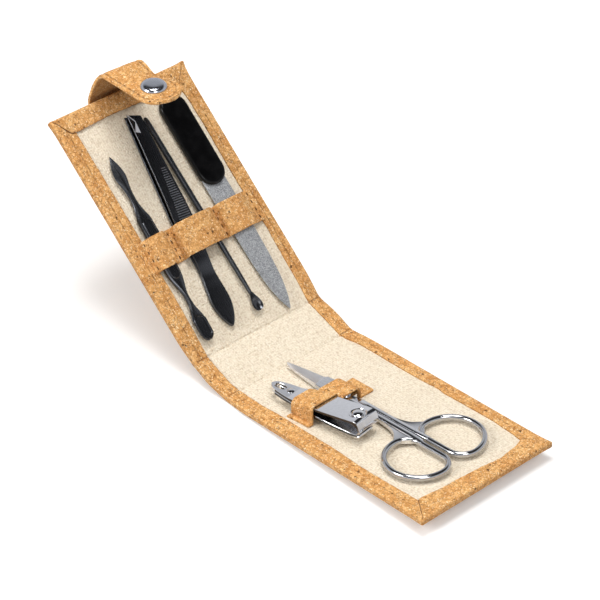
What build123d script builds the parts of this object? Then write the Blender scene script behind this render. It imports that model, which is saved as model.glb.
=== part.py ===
"""Cork manicure case, standing half open, with its seven tools in their straps.

Frame: X across the case, -Y to the free end of the front section, +Z up,
origin under the middle of the whole object.  Millimetres and degrees.

Every section is drawn flat in its own frame (x, s, n): s runs along the section
from its crease and n is the height over the turned-in hems, so the lining lies
at n = LINING_TOP.  Heights written h are measured up from the lining.
"""
from build123d import *
import math
import os

# ---------------------------------------------------------------- the case
CASE_WIDTH = 70.0
FRONT_LENGTH = 112.6          # crease to free end
SPINE_LENGTH = 20.2
BACK_LENGTH = 114.6
CORK = 0.8                    # cork cloth on the outside
BOARD = 0.9                   # stiff card inside each section
LINING = 0.4                  # felt
HEM = 0.7                     # cork turned in over the felt
SECTION_DEPTH = CORK + BOARD + LINING + HEM
LINING_TOP = -HEM
SIDE_HEM = 8.0                # width of the turned-in border
FRONT_END_HEM = 9.4
BACK_END_HEM = 8.1
CORNER_RADIUS = 1.1
EDGE_ROUND = 0.6
CREASE_GAP = 0.15             # each section stops this far short of its crease

# how the case stands
SPINE_TILT = 17.9
BACK_TILT = 41.1
SHUT_WEDGE = 2.26             # each fold goes this far past a right angle when shut

# ------------------------------------------------------- closure tab and snap
TAB_X = -3.0                  # the tab sits a little left of the middle
TAB_WIDTH = 20.0
TAB_THICK = 1.6               # two layers of cork cloth
TAB_PATCH_LENGTH = 24.0
TAB_HINGE = 0.9               # the tab bends this far beyond the back's end
TAB_CREST = 4.6               # the second bend, further out again
TAB_FLAP_FLAT = 26.0          # straight stretch of the flap
TAB_FLAP_LENGTH = 34.5
TAB_TIP_CURL_RADIUS = 30.0
TAB_FLAP_LEAN = 50.0          # flap from the back's normal towards the crease
TAB_BOW = 0.9                 # the bridge bows outwards by this much
TAB_BEND_GAP = 0.15
SNAP_REACH = 20.1             # second bend to the snap's axis
SNAP_SHUT_GAP = 2.0           # flap to front section when snapped
STUD_HEIGHT = 4.6
STUD_FLANGE = 0.4
CAP_RADIUS = 5.6
SNAP_TUBE = 2.6               # outer radius of the cap's tube
SNAP_BORE = 2.25
SOCKET_RADIUS = 5.2
SOCKET_THICK = 1.4
STUD_HEAD = 1.95
STUD_NECK = 1.5
STUD_RIVET = 1.0

# ------------------------------------------------------------------- straps
STRAP_THICK = 0.9
FRONT_STRAP = (25.0, 40.0)    # from and to, measured from the crease
BACK_STRAP = (39.3, 53.8)
TOOL_CLEARANCE = 0.3
ARCH_FLARE = 1.3              # the arch is this much wider at the crease end

# -------------------------------------------------------------------- tools
# each tool is drawn about its own axis and turned by its skew in the section
PUSHER_PLACE, PUSHER_SKEW = (-22.0, 46.5), -2.0
PUSHER_HEIGHT = 2.2
PUSHER_HALF = 3.4             # half width of its grip
TWEEZERS_PLACE, TWEEZERS_SKEW = (-10.4, 6.2), -5.2
TWEEZERS_HALF = 4.7
TWEEZERS_SHEET = 0.8
TWEEZERS_REST = 0.9           # the lower arm's height over the lining
TWEEZERS_JOIN = 18.0          # the arms are welded up to here
TWEEZERS_GAP = 2.4
PICK_PLACE, PICK_SKEW = (4.7, 6.6), 0.6
PICK_HEIGHT = 2.4
FILE_PLACE, FILE_SKEW = (18.0, 1.4), 0.0
HANDLE_LENGTH = 40.0
HANDLE_HALF = 6.4
HANDLE_SHIFT = 0.4            # the handle sits a little right of the blade's axis
SCISSORS_PLACE, SCISSORS_SKEW = (-2.3, 35.5), 1.6
SCISSORS_LUG = 4.2
SCISSORS_LOW = (0.6, 2.3)     # heights of the two crossing halves
SCISSORS_HIGH = (2.4, 4.1)
SCISSORS_SCREW = 1.5
RING_WIRE = 1.45
RING_HEIGHT = 2.4
RING_INNER = 1.9              # middle of the ring's straight side, from the axis
RING_CORNER = 7.2
RING_BOW = 13.4
RING_CENTRE = -49.1
CLIPPER_PLACE, CLIPPER_SKEW = (-13.3, 60.5), 7.2
CLIPPER_LEAF_SLOPE = 7.6      # the upper leaf climbs from its bend to the jaw
CLIPPER_RIVET = 40.0          # jaw edge to rivet
CLIPPER_BEND = 38.0           # jaw edge to the bend where the upper leaf climbs
CLIPPER_POST = 5.3            # jaw edge to post
CLIPPER_LENGTH = 50.0
CLIPPER_SHEET = 1.4
CLIPPER_LOW_LEAF = 3.35       # bottom of the lower leaf at the rivet
CLIPPER_TOP_AT_RIVET = CLIPPER_LOW_LEAF + 2 * CLIPPER_SHEET
LEVER_HEIGHTS = (2.2, 3.1)


# ------------------------------------------------------------- small helpers
def block(x0, x1, y0, y1, z0, z1):
    """Rectangular block between two corners."""
    centre = Pos((x0 + x1) / 2, (y0 + y1) / 2, (z0 + z1) / 2)
    return centre * Box(x1 - x0, y1 - y0, z1 - z0)


def plate(face, z0, z1):
    """Flat plate of an XY face, from z0 up to z1."""
    return Pos(0, 0, z0) * extrude(face, amount=z1 - z0)


def polygon(points):
    return make_face(Polyline(*points, close=True))


def across(points, x0, x1):
    """Prism along X with a (y, z) outline."""
    return Pos(x0, 0, 0) * extrude(Plane.YZ * polygon(points), amount=x1 - x0)


def rod(radius, z0, z1, x=0.0, y=0.0):
    """Upright cylinder from z0 to z1."""
    return Pos(x, y, (z0 + z1) / 2) * Cylinder(radius, z1 - z0)


def mirrored(stations):
    """Closed XY polygon from (y, half width) stations, even about the Y axis."""
    right = [(w, y) for y, w in stations]
    left = [(-w, y) for y, w in reversed(stations)]
    return polygon(right + left)


def leaf_face(stations):
    """Smooth XY face from (y, half width) stations; the last one is a point."""
    right = Spline(*[(w, y) for y, w in stations])
    left = Spline(*[(-w, y) for y, w in stations])
    first_y, first_w = stations[0]
    return make_face([right, left, Line((-first_w, first_y), (first_w, first_y))])


def turned(stations):
    """Round bar along Y from (y, radius) stations."""
    first_y, last_y = stations[0][0], stations[-1][0]
    edge = Polyline((0, first_y), *[(r, y) for y, r in stations], (0, last_y), close=True)
    return revolve(make_face(edge), axis=Axis.Y)


def arc_band(start, middle, end, thick):
    """(y, z) face of even thickness along the arc through three points."""
    (ax, ay), (bx, by), (cx, cy) = start, middle, end
    d = 2 * (ax * (by - cy) + bx * (cy - ay) + cx * (ay - by))
    a2, b2, c2 = ax * ax + ay * ay, bx * bx + by * by, cx * cx + cy * cy
    ox = (a2 * (by - cy) + b2 * (cy - ay) + c2 * (ay - by)) / d
    oy = (a2 * (cx - bx) + b2 * (ax - cx) + c2 * (bx - ax)) / d
    radius = math.hypot(ax - ox, ay - oy)

    def at(point, offset):
        k = (radius + offset) / radius
        return (ox + (point[0] - ox) * k, oy + (point[1] - oy) * k)

    half = thick / 2
    outer = ThreePointArc(at(start, half), at(middle, half), at(end, half))
    inner = ThreePointArc(at(start, -half), at(middle, -half), at(end, -half))
    return make_face([outer, inner, Line(at(start, half), at(start, -half)),
                      Line(at(end, half), at(end, -half))])


def band(path, thick):
    """Closed polygon of even thickness on the left of an open path."""
    outer = []
    for i, (x, z) in enumerate(path):
        before = path[max(i - 1, 0)]
        after = path[min(i + 1, len(path) - 1)]
        if i == 0:
            before = (2 * x - after[0], 2 * z - after[1])
        if i == len(path) - 1:
            after = (2 * x - before[0], 2 * z - before[1])
        a0 = math.atan2(z - before[1], x - before[0])
        a1 = math.atan2(after[1] - z, after[0] - x)
        mean = (a0 + a1) / 2
        reach = thick / math.cos((a1 - a0) / 2)
        outer.append((x - reach * math.sin(mean), z + reach * math.cos(mean)))
    return list(path) + outer[::-1]


# ---------------------------------------------------------------- the sections
def section(length, end_hem, closed=True):
    """Cover, board and lining of one section, in (x, s, n)."""
    half = CASE_WIDTH / 2
    end = length if closed else length - CREASE_GAP
    inner_end = end - CORK if closed else end

    def slab(half_width, end_s, n0, n1, radius):
        face = Pos(0, (CREASE_GAP + end_s) / 2) * Rectangle(2 * half_width, end_s - CREASE_GAP)
        if closed:
            face = fillet(face.vertices().group_by(Axis.Y)[-1], radius)
        return plate(face, n0, n1)

    outer = slab(half, end, -SECTION_DEPTH, 0, CORNER_RADIUS)
    rims = ShapeList(
        e for group in (0, -1) for e in outer.edges().group_by(Axis.Z)[group]
        if e.center().Y > CREASE_GAP + 0.01 and (closed or e.center().Y < end - 0.01)
    )
    outer = fillet(rims, EDGE_ROUND)
    pocket_radius = CORNER_RADIUS - CORK
    board_n = -SECTION_DEPTH + CORK
    lining_n = board_n + BOARD
    pocket_end = inner_end if closed else end + 1
    pocket = slab(half - CORK, pocket_end, board_n, LINING_TOP, pocket_radius)
    mouth = block(CORK - half, half - CORK, CREASE_GAP - 1, CREASE_GAP + 1, board_n, LINING_TOP)
    window_end = end - end_hem if closed else end + 1
    window_half = half - SIDE_HEM
    window = block(-window_half, window_half, CREASE_GAP - 1, window_end, LINING_TOP - 0.1, 1)
    cover = outer - pocket - mouth - window
    board = slab(half - CORK, inner_end, board_n, lining_n, pocket_radius)
    lining = slab(half - CORK, inner_end, lining_n, LINING_TOP, pocket_radius)
    return cover, board, lining


# ------------------------------------------------------------------ the straps
def strap(rear, front, y_rear, y_front):
    """Cork band lofted between two profiles of the same number of points."""
    faces = []
    for profile, y in ((rear, y_rear), (front, y_front)):
        plane = Plane(origin=(0, y, LINING_TOP), x_dir=(1, 0, 0), z_dir=(0, -1, 0))
        faces.append(plane * polygon(band(profile, STRAP_THICK)))
    return loft(faces, ruled=True)


def front_strap():
    """Left foot, box over the clipper, valley, arch over the scissors, right foot."""
    profiles = []
    for s in FRONT_STRAP:
        along = (CLIPPER_PLACE[1] - s) / math.cos(math.radians(CLIPPER_SKEW))
        middle = CLIPPER_PLACE[0] - along * math.sin(math.radians(CLIPPER_SKEW))
        half = clipper_half_width(along) + TOOL_CLEARANCE + 0.1
        top = clipper_top(along) + TOOL_CLEARANCE + 0.15
        pivot = SCISSORS_PLACE[0] + (s - SCISSORS_PLACE[1]) * math.tan(math.radians(SCISSORS_SKEW))
        flare = ARCH_FLARE * (FRONT_STRAP[1] - s) / (FRONT_STRAP[1] - FRONT_STRAP[0])
        arch_left = pivot - SCISSORS_LUG - TOOL_CLEARANCE - flare
        arch_right = pivot + SCISSORS_LUG + TOOL_CLEARANCE + 0.6
        valley = max(middle + half + STRAP_THICK + 0.1, arch_left - STRAP_THICK - 0.5)
        profiles.append([
            (-26.6, 0), (middle - half, 0), (middle - half, top - 0.4),
            (middle - half + 0.3, top), (middle + half - 0.3, top), (middle + half, top - 0.4),
            (middle + half + 0.2, 1.4), (valley, 0.5), (arch_left - 0.2, 1.4), (arch_left, 4.4),
            (arch_left + 1.3, 5.2), (arch_right - 1.6, 5.2), (arch_right - 0.3, 4.4),
            (arch_right, 0), (11.4, 0),
        ])
    return strap(profiles[0], profiles[1], -FRONT_STRAP[0], -FRONT_STRAP[1])


def back_strap():
    """Foot, pocket for the pusher, stitch, tweezers and ear pick, stitch, file, foot."""
    edge = CASE_WIDTH / 2 - SIDE_HEM
    profiles = []
    for s in BACK_STRAP:
        pusher = PUSHER_PLACE[0] - (s - PUSHER_PLACE[1]) * math.tan(math.radians(PUSHER_SKEW))
        tweezers = TWEEZERS_PLACE[0] - (s - TWEEZERS_PLACE[1]) * math.tan(
            math.radians(TWEEZERS_SKEW))
        pusher_half = PUSHER_HALF + TOOL_CLEARANCE
        tweezers_half = TWEEZERS_HALF + TOOL_CLEARANCE
        profiles.append([
            (-edge, 0), (pusher - pusher_half - 0.15, 0), (pusher - pusher_half, 3.3),
            (pusher - pusher_half + 1.1, 4.0), (pusher + pusher_half - 1.1, 4.0),
            (pusher + pusher_half, 3.3), (pusher + pusher_half + 0.3, 0),
            (tweezers - tweezers_half - 0.5, 0), (tweezers - tweezers_half, 4.7),
            (tweezers - tweezers_half + 0.9, 5.4), (tweezers + tweezers_half - 0.3, 5.4),
            (6.6, 4.4), (9.8, 0), (11.2, 0), (12.2, 2.4), (13.2, 2.7), (23.0, 2.7),
            (24.0, 2.2), (24.8, 0), (edge, 0),
        ])
    return strap(profiles[0], profiles[1], BACK_STRAP[0], BACK_STRAP[1])


# ------------------------------------------------------------- the closure tab
def tab_patch():
    """Tongue stitched flat to the outside of the back section."""
    half = TAB_WIDTH / 2
    start = BACK_LENGTH - TAB_PATCH_LENGTH
    face = Pos(TAB_X, (start + BACK_LENGTH) / 2) * Rectangle(TAB_WIDTH, TAB_PATCH_LENGTH)
    face = fillet(face.vertices().group_by(Axis.Y)[0], half * 0.9)
    return plate(face, -SECTION_DEPTH - TAB_THICK, -SECTION_DEPTH)


def tab_bridge(hinge, crest):
    """Bowed strip from the first bend to the second, with a round lower end."""
    knuckle = Pos(0, hinge[0], hinge[1]) * Rot(0, 90, 0) * Cylinder(TAB_THICK / 2, TAB_WIDTH)
    top = (crest[0] + 0.13, crest[1] - TAB_THICK / 2 - TAB_BEND_GAP)
    bow = ((hinge[0] + top[0]) / 2 + TAB_BOW, (hinge[1] + top[1]) / 2)
    strip = extrude(Plane.YZ * arc_band(hinge, bow, top, TAB_THICK), amount=TAB_WIDTH / 2, both=True)
    return Pos(TAB_X, 0, 0) * (knuckle + strip)


def tab_flap():
    """Straight flap along -Y with an upturned round tip; its bend is at the origin."""
    half_thick = TAB_THICK / 2
    knuckle = Rot(0, 90, 0) * Cylinder(half_thick, TAB_WIDTH)
    straight = block(-TAB_WIDTH / 2, TAB_WIDTH / 2, -TAB_FLAP_FLAT, 0, -half_thick, half_thick)
    turn = (TAB_FLAP_LENGTH - TAB_FLAP_FLAT) / TAB_TIP_CURL_RADIUS

    def on_curl(angle):
        return (-TAB_FLAP_FLAT - TAB_TIP_CURL_RADIUS * math.sin(angle),
                TAB_TIP_CURL_RADIUS * (1 - math.cos(angle)))

    curl_face = arc_band(on_curl(0), on_curl(turn / 2), on_curl(turn), TAB_THICK)
    curl = extrude(Plane.YZ * curl_face, amount=TAB_WIDTH / 2, both=True)
    reach = -on_curl(turn)[0]
    radius = TAB_WIDTH / 2
    tongue = Pos(0, (radius - reach) / 2 + 1) * Rectangle(TAB_WIDTH, reach - radius + 2)
    tongue += Pos(0, radius - reach) * Circle(radius)
    hole = rod(SNAP_TUBE + 0.1, -5, 5, y=-SNAP_REACH)
    return (knuckle + straight + curl) & plate(tongue, -6, 12) - hole


# -------------------------------------------------------------------- the snap
def snap_cap():
    """Domed cap with its tube, on the snap's axis; z = 0 is the middle of the flap."""
    base = TAB_THICK / 2
    dome = 2.4
    sphere_radius = (CAP_RADIUS ** 2 + dome ** 2) / (2 * dome)
    shell = Pos(0, 0, base + dome - sphere_radius) * Sphere(sphere_radius)
    wall = 0.5
    inside = Pos(0, 0, base + dome - sphere_radius) * Sphere(sphere_radius - wall)
    above = rod(CAP_RADIUS, base, base + dome + 1)
    hollow = inside & rod(CAP_RADIUS - wall, base + 0.3, base + dome + 1)
    foot = rod(CAP_RADIUS - 0.1, base, base + 0.3) - rod(SNAP_BORE, base - 1, base + 1)
    cap = (shell & above) - hollow
    cap = cap - rod(SNAP_BORE, base - 1, base + 0.31) + foot
    tube = rod(SNAP_TUBE, -base - SOCKET_THICK, base + 0.3) - rod(SNAP_BORE, -9, base + 1)
    return cap + tube


def snap_socket():
    """Socket ring clinched round the tube, under the flap."""
    top = -TAB_THICK / 2
    ring = rod(SOCKET_RADIUS, top - SOCKET_THICK, top)
    ring = fillet(ring.edges().group_by(Axis.Z)[0], 0.4)
    return ring - rod(SNAP_TUBE, top - SOCKET_THICK - 1, top + 1)


def stud():
    """Stud on the outside of the front section: flange, neck and round head."""
    base = -SECTION_DEPTH
    flange = rod(4.5, base - STUD_FLANGE, base)
    neck_end = base - 2.2
    neck = rod(STUD_NECK, neck_end, base)
    tip = base - STUD_HEIGHT
    head = rod(STUD_HEAD, tip, neck_end)
    head = fillet(head.edges().group_by(Axis.Z)[0], 0.9)
    head = chamfer(head.edges().group_by(Axis.Z)[-1], 0.4)
    return flange + neck + head - rod(STUD_RIVET, base - 1.6, base + 1)


def stud_rivet():
    """Back plate under the lining, with the rivet that holds the stud."""
    top = LINING_TOP - LINING
    plate_thick = 0.35
    return rod(4.5, top - plate_thick, top) + rod(STUD_RIVET, -SECTION_DEPTH - 1.6, top)


# ------------------------------------------------------------- the back's tools
def cuticle_pusher():
    """Spear end up, spoon end down, flat grip between; y = 0 is the grip's middle."""
    outline = turned([
        (-41.0, 0.6), (-40.3, 1.9), (-38.5, 2.8), (-36.0, 3.1), (-31.0, 3.1), (-28.5, 2.5),
        (-25.5, 1.4), (-22.0, 1.1), (-19.0, 1.3), (-14.5, 2.6), (-12.0, 3.2), (-9.0, PUSHER_HALF),
        (13.0, PUSHER_HALF), (15.5, 3.1), (18.5, 2.2), (23.0, 1.3), (26.0, 1.1), (28.5, 1.2),
        (31.0, 2.0), (32.5, 2.5), (34.5, 2.5), (38.5, 1.8), (42.5, 0.8), (44.5, 0.1),
    ])
    side = [
        (-41.5, 0.4), (-29.0, 0.5), (-26.0, 1.0), (-17.0, 1.0), (-12.0, 1.05), (15.0, 1.05),
        (20.0, 1.0), (29.0, 1.0), (32.0, 0.6), (45.0, 0.4),
    ]
    thickness = across(side + [(y, -z) for y, z in reversed(side)], -6, 6)
    return outline & thickness


def tweezers_arm(bottom, stations):
    """One arm: plan outline cut to a bent strip. Stations are (y, bottom height)."""
    plan = [
        (0.0, 0.0), (1.5, 1.5), (5.0, 3.2), (9.0, 4.3), (12.5, 4.5), (17.0, 4.1), (23.0, 3.4),
        (28.0, 3.3), (34.0, 3.7), (41.0, 4.4), (47.0, TWEEZERS_HALF), (52.0, 4.6),
        (64.0, 4.1), (80.0, 3.5), (97.0, 3.1),
    ]
    right = [(w, y) for y, w in plan]
    left = [(-w, y) for y, w in reversed(plan[1:])]
    tip_slant = 3.0
    left[0] = (left[0][0], left[0][1] - tip_slant)
    top = [(y, z + TWEEZERS_SHEET) for y, z in reversed(stations)]
    return plate(polygon(right + left), bottom - 1, bottom + 9) & across(stations + top, -6, 6)


def tweezers_arms():
    """Lower and upper arm, tail at the origin, tips along +Y."""
    low = TWEEZERS_REST
    weld = low + TWEEZERS_SHEET
    lower = tweezers_arm(low, [(-1, low), (92, low), (98, low + 0.3)])
    upper = tweezers_arm(weld, [
        (-1, weld), (TWEEZERS_JOIN, weld), (30, weld + 0.7), (60, weld + TWEEZERS_GAP),
        (90, weld + TWEEZERS_GAP + 0.1), (98, weld + TWEEZERS_GAP - 0.7),
    ])
    return lower, upper


def ear_pick():
    """Tapered rod with a small dished scoop at the lower end."""
    shank = turned([
        (6.0, 0.8), (8.0, 0.9), (30.0, 1.1), (46.0, 1.2), (91.0, 1.2), (92.4, 0.9), (92.8, 0.4),
    ])
    scoop = plate(mirrored([(0.0, 0.9), (0.6, 1.9), (2.2, 2.35), (4.4, 2.1), (6.6, 1.2), (8.6, 0.7)]),
                  -0.8, 0.7)
    dish = Pos(0, 2.4, 3.2) * Sphere(3.4)
    return shank + (scoop - dish)


def nail_file():
    """Blade with a pointed end down, and the handle moulded round its top."""
    blade = plate(leaf_face([(61.0, 5.5), (46.0, 5.5), (32.0, 5.0), (22.0, 4.7), (13.0, 3.9),
                             (6.0, 2.4), (0.0, 0.0)]), 1.5, 2.1)
    handle_start = 60.2
    blade = blade & block(-9, 9, -1, handle_start + 12.0, 0, 9)
    tang = block(-4.6, 4.6, 60.9, handle_start + 12.0, 1.5, 2.1)
    blade = blade + tang
    middle = handle_start + HANDLE_LENGTH / 2
    body = Pos(HANDLE_SHIFT, middle) * SlotOverall(HANDLE_LENGTH, 2 * HANDLE_HALF, rotation=90)
    handle = plate(body, 0.9, 3.9)
    handle = fillet(handle.edges().group_by(Axis.Z)[-1] + handle.edges().group_by(Axis.Z)[0], 0.9)
    return blade, handle - blade


# ------------------------------------------------------------ the front's tools
def finger_ring():
    """Round-wire ring with a straight side next to the axis, for the right hand half."""
    straight = RING_BOW - RING_CORNER
    centre_x = RING_INNER + RING_CORNER
    y = RING_CENTRE
    side = Line((RING_INNER, y - straight), (RING_INNER, y + straight))
    corner = RING_CORNER * (1 - math.cos(math.radians(45)))
    upper = ThreePointArc((RING_INNER, y + straight),
                          (RING_INNER + corner, y + RING_BOW - corner), (centre_x, y + RING_BOW))
    bow = ThreePointArc((centre_x, y + RING_BOW), (centre_x + RING_BOW, y), (centre_x, y - RING_BOW))
    lower = ThreePointArc((centre_x, y - RING_BOW),
                          (RING_INNER + corner, y - RING_BOW + corner), (RING_INNER, y - straight))
    hole = make_face([side, upper, bow, lower])
    section_plane = Plane(origin=(RING_INNER, y, 0), x_dir=(1, 0, 0), z_dir=(0, 1, 0))
    path = Wire([Line((RING_INNER, y), (RING_INNER, y + straight)), upper, bow, lower,
                 Line((RING_INNER, y - straight), (RING_INNER, y))])
    ring = sweep(section_plane * Circle(RING_WIRE), path=path)
    return Pos(0, 0, RING_HEIGHT) * ring, hole


def scissors_half(blade_heights):
    """One half with its ring on the +X side, the pivot at the origin, the tip along +Y."""
    z0, z1 = blade_heights
    blade = plate(mirrored([(-3.5, 3.6), (0.0, SCISSORS_LUG), (4.0, SCISSORS_LUG), (10.0, 4.0),
                            (13.5, 3.7), (14.5, 3.1), (22.5, 2.2), (33.0, 0.6), (33.6, 0.3)]), z0, z1)
    lug = rod(SCISSORS_LUG, z0, z1)
    neck = plate(polygon([(0.15, -2.0), (3.6, -2.0), (3.2, -6.0), (2.6, -9.0), (0.15, -9.0)]), z0, z1)
    bar_bottom, bar_top = RING_HEIGHT - RING_WIRE, RING_HEIGHT + RING_WIRE
    bar = block(0.15, 2.6, RING_CENTRE + 7.0, -4.6, bar_bottom, bar_top)
    bar = fillet(bar.edges().filter_by(Axis.Y), 0.6)
    ring, hole = finger_ring()
    web = plate(polygon([(0.4, -22.0), (2.5, -24.0), (3.2, -28.0), (4.9, -31.8), (8.6, -34.6),
                         (9.4, -36.5), (2.6, -43.0), (0.4, -43.0)]),
                RING_HEIGHT - 0.9, RING_HEIGHT + 0.9)
    web = web - plate(hole, -5, 9)
    half = blade + lug + neck + bar + ring + web
    return half - rod(SCISSORS_SCREW, -1, 9)


def scissors():
    """Lower half with the right ring, upper half with the left ring, and their screw."""
    lower = scissors_half(SCISSORS_LOW)
    upper = mirror(scissors_half(SCISSORS_HIGH), about=Plane.YZ)
    head_z = SCISSORS_HIGH[1]
    head = rod(2.3, head_z, head_z + 0.6)
    head = fillet(head.edges().group_by(Axis.Z)[-1], 0.25)
    slot = block(-2.5, 2.5, -0.3, 0.3, head_z + 0.3, head_z + 1)
    screw = head - slot + rod(SCISSORS_SCREW - 0.05, SCISSORS_LOW[0], head_z)
    return lower, upper, screw


def clipper_half_width(y):
    """Half the leaf's width at a distance y behind the jaw."""
    if y < 19.0:
        return 6.0
    return 6.0 - 1.3 * min((y - 19.0) / 16.0, 1.0) - 1.8 * max((y - 35.0) / 12.0, 0.0)


def clipper_top(y):
    """Height of the upper leaf's top, a distance y behind the jaw."""
    return CLIPPER_TOP_AT_RIVET + max(CLIPPER_BEND - y, 0) * math.tan(
        math.radians(CLIPPER_LEAF_SLOPE))


def clipper_plan():
    """Plan of a leaf: wide jaw at y = 0, narrow rounded tail at the far end."""
    tail = [(19.0, 6.0), (27.0, 5.55), (35.0, 4.7), (42.0, 3.8), (47.0, 2.7), (49.3, 1.3)]
    right = Spline(*[(w, y) for y, w in tail], (0, CLIPPER_LENGTH), tangents=[(0, 1), (-1, 0)])
    left = Spline(*[(-w, y) for y, w in tail], (0, CLIPPER_LENGTH), tangents=[(0, 1), (1, 0)])
    front = Line((-6, 0), (6, 0))
    return make_face([right, left, Line((6, 0), (6, 19.0)), Line((-6, 0), (-6, 19.0)), front])


def clipper():
    """Nail clipper lying with its lever underneath; jaw edge at y = 0, tail along +Y."""
    plan = clipper_plan()
    jaw_bow = Pos(0, -29.4, 0) * Cylinder(30.0, 40)
    ring_hole = plate(Pos(0, 45.3) * SlotOverall(5.4, 2.8, rotation=90), -1, 12)
    rivet_hole = rod(1.25, -1, 12, y=CLIPPER_RIVET)
    end = CLIPPER_LENGTH + 1
    seat = CLIPPER_LOW_LEAF + CLIPPER_SHEET

    def leaf(profile):
        return (plate(plan, 0, 12) & across(profile, -7, 7)) - jaw_bow - ring_hole - rivet_hole

    under = CLIPPER_LOW_LEAF
    lower_leaf = leaf([
        (end, under), (38, under), (10, under - 0.1), (4.0, under), (1.2, 4.1), (0.0, 5.8),
        (1.6, 5.0), (4.4, under + CLIPPER_SHEET), (10, under - 0.1 + CLIPPER_SHEET), (38, seat),
        (end, seat),
    ])
    jaw_top = clipper_top(2.6)
    upper_leaf = leaf([
        (end, seat), (CLIPPER_BEND, seat), (3.6, clipper_top(3.6) - CLIPPER_SHEET),
        (1.7, jaw_top - 2.4), (0.0, 7.2), (0.8, jaw_top - 0.9), (2.6, jaw_top),
        (CLIPPER_BEND, CLIPPER_TOP_AT_RIVET), (end, CLIPPER_TOP_AT_RIVET),
    ])
    lower_leaf = lower_leaf - rod(1.7, -1, 6, y=CLIPPER_POST)
    leaf_top = clipper_top(CLIPPER_POST)
    upper_leaf = upper_leaf - rod(1.4, 5, 12, y=CLIPPER_POST)
    upper_leaf = upper_leaf - rod(2.9, leaf_top - 0.45, 13, y=CLIPPER_POST)

    z0, z1 = LEVER_HEIGHTS
    lever_face = mirrored([(1.6, 4.2), (3.0, 5.0), (12.0, 5.0), (26.0, 4.2), (35.0, 3.4), (37.8, 2.4)])
    lever = plate(lever_face, z0, z1) - rod(1.7, -1, 12, y=CLIPPER_POST)

    post = rod(1.2, 2.0, leaf_top - 0.3, y=CLIPPER_POST)
    head = Pos(0, CLIPPER_POST, leaf_top - 0.45) * Cylinder(2.1, 0.4, align=(
        Align.CENTER, Align.CENTER, Align.MIN))
    dome = Pos(0, CLIPPER_POST, leaf_top - 1.0) * Sphere(2.0) & rod(
        2.1, leaf_top - 0.3, leaf_top + 2, y=CLIPPER_POST)
    button = rod(2.0, 1.5, 2.1, y=CLIPPER_POST)
    post = post + head + dome + button

    rivet = rod(1.1, under - 0.25, CLIPPER_TOP_AT_RIVET + 0.5, y=CLIPPER_RIVET)
    rivet += rod(1.7, under - 0.25, under, y=CLIPPER_RIVET)
    rivet += rod(1.7, CLIPPER_TOP_AT_RIVET + 0.2, CLIPPER_TOP_AT_RIVET + 0.5, y=CLIPPER_RIVET)
    return lower_leaf, upper_leaf, lever, post, rivet


# --------------------------------------------------------- where things stand
def rotated(point, degrees):
    """(y, z) point turned from Y towards Z."""
    c, s = math.cos(math.radians(degrees)), math.sin(math.radians(degrees))
    return (point[0] * c - point[1] * s, point[0] * s + point[1] * c)


# The shut case, seen in the back section's own (s, n) plane.
shut_fold = 90.0 + SHUT_WEDGE
shut_crease = (-SPINE_LENGTH * math.cos(math.radians(shut_fold)),
               SPINE_LENGTH * math.sin(math.radians(shut_fold)))
shut_along = rotated((1.0, 0.0), -2 * SHUT_WEDGE)         # front section, crease to end
shut_outward = (-shut_along[1], shut_along[0])            # its outward normal

tab_hinge = (BACK_LENGTH + TAB_HINGE, -SECTION_DEPTH - TAB_THICK / 2)
flap_offset = SECTION_DEPTH + SNAP_SHUT_GAP + TAB_THICK / 2
crest_s = BACK_LENGTH + TAB_CREST
crest_n = shut_crease[1] + (flap_offset - (crest_s - shut_crease[0]) * shut_outward[0]) / shut_outward[1]
tab_crest = (crest_s, crest_n)
stud_s = ((tab_crest[0] - shut_crease[0]) * shut_along[0]
          + (tab_crest[1] - shut_crease[1]) * shut_along[1] - SNAP_REACH)
front_tilt = math.degrees(math.asin(STUD_HEIGHT / stud_s))   # the free end stands on the stud

front_place = Rot(-front_tilt, 0, 0)
spine_place = Rot(SPINE_TILT, 0, 0)
back_crease = rotated((SPINE_LENGTH, 0.0), SPINE_TILT)
back_place = Pos(0, *back_crease) * Rot(BACK_TILT, 0, 0)
flap_place = back_place * Pos(TAB_X, *tab_crest) * Rot(TAB_FLAP_LEAN - 90.0, 0, 0)
snap_place = flap_place * Pos(0, -SNAP_REACH, 0)
half_turn = Rot(0, 0, 180)


def on_front(place, skew):
    """Tool frame on the front lining, its +Y towards the crease."""
    return front_place * Pos(place[0], -place[1], LINING_TOP) * Rot(0, 0, skew)


def on_back(place, skew):
    """Tool frame on the back lining, its +Y up the section."""
    return back_place * Pos(place[0], place[1], LINING_TOP) * Rot(0, 0, skew)


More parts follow.
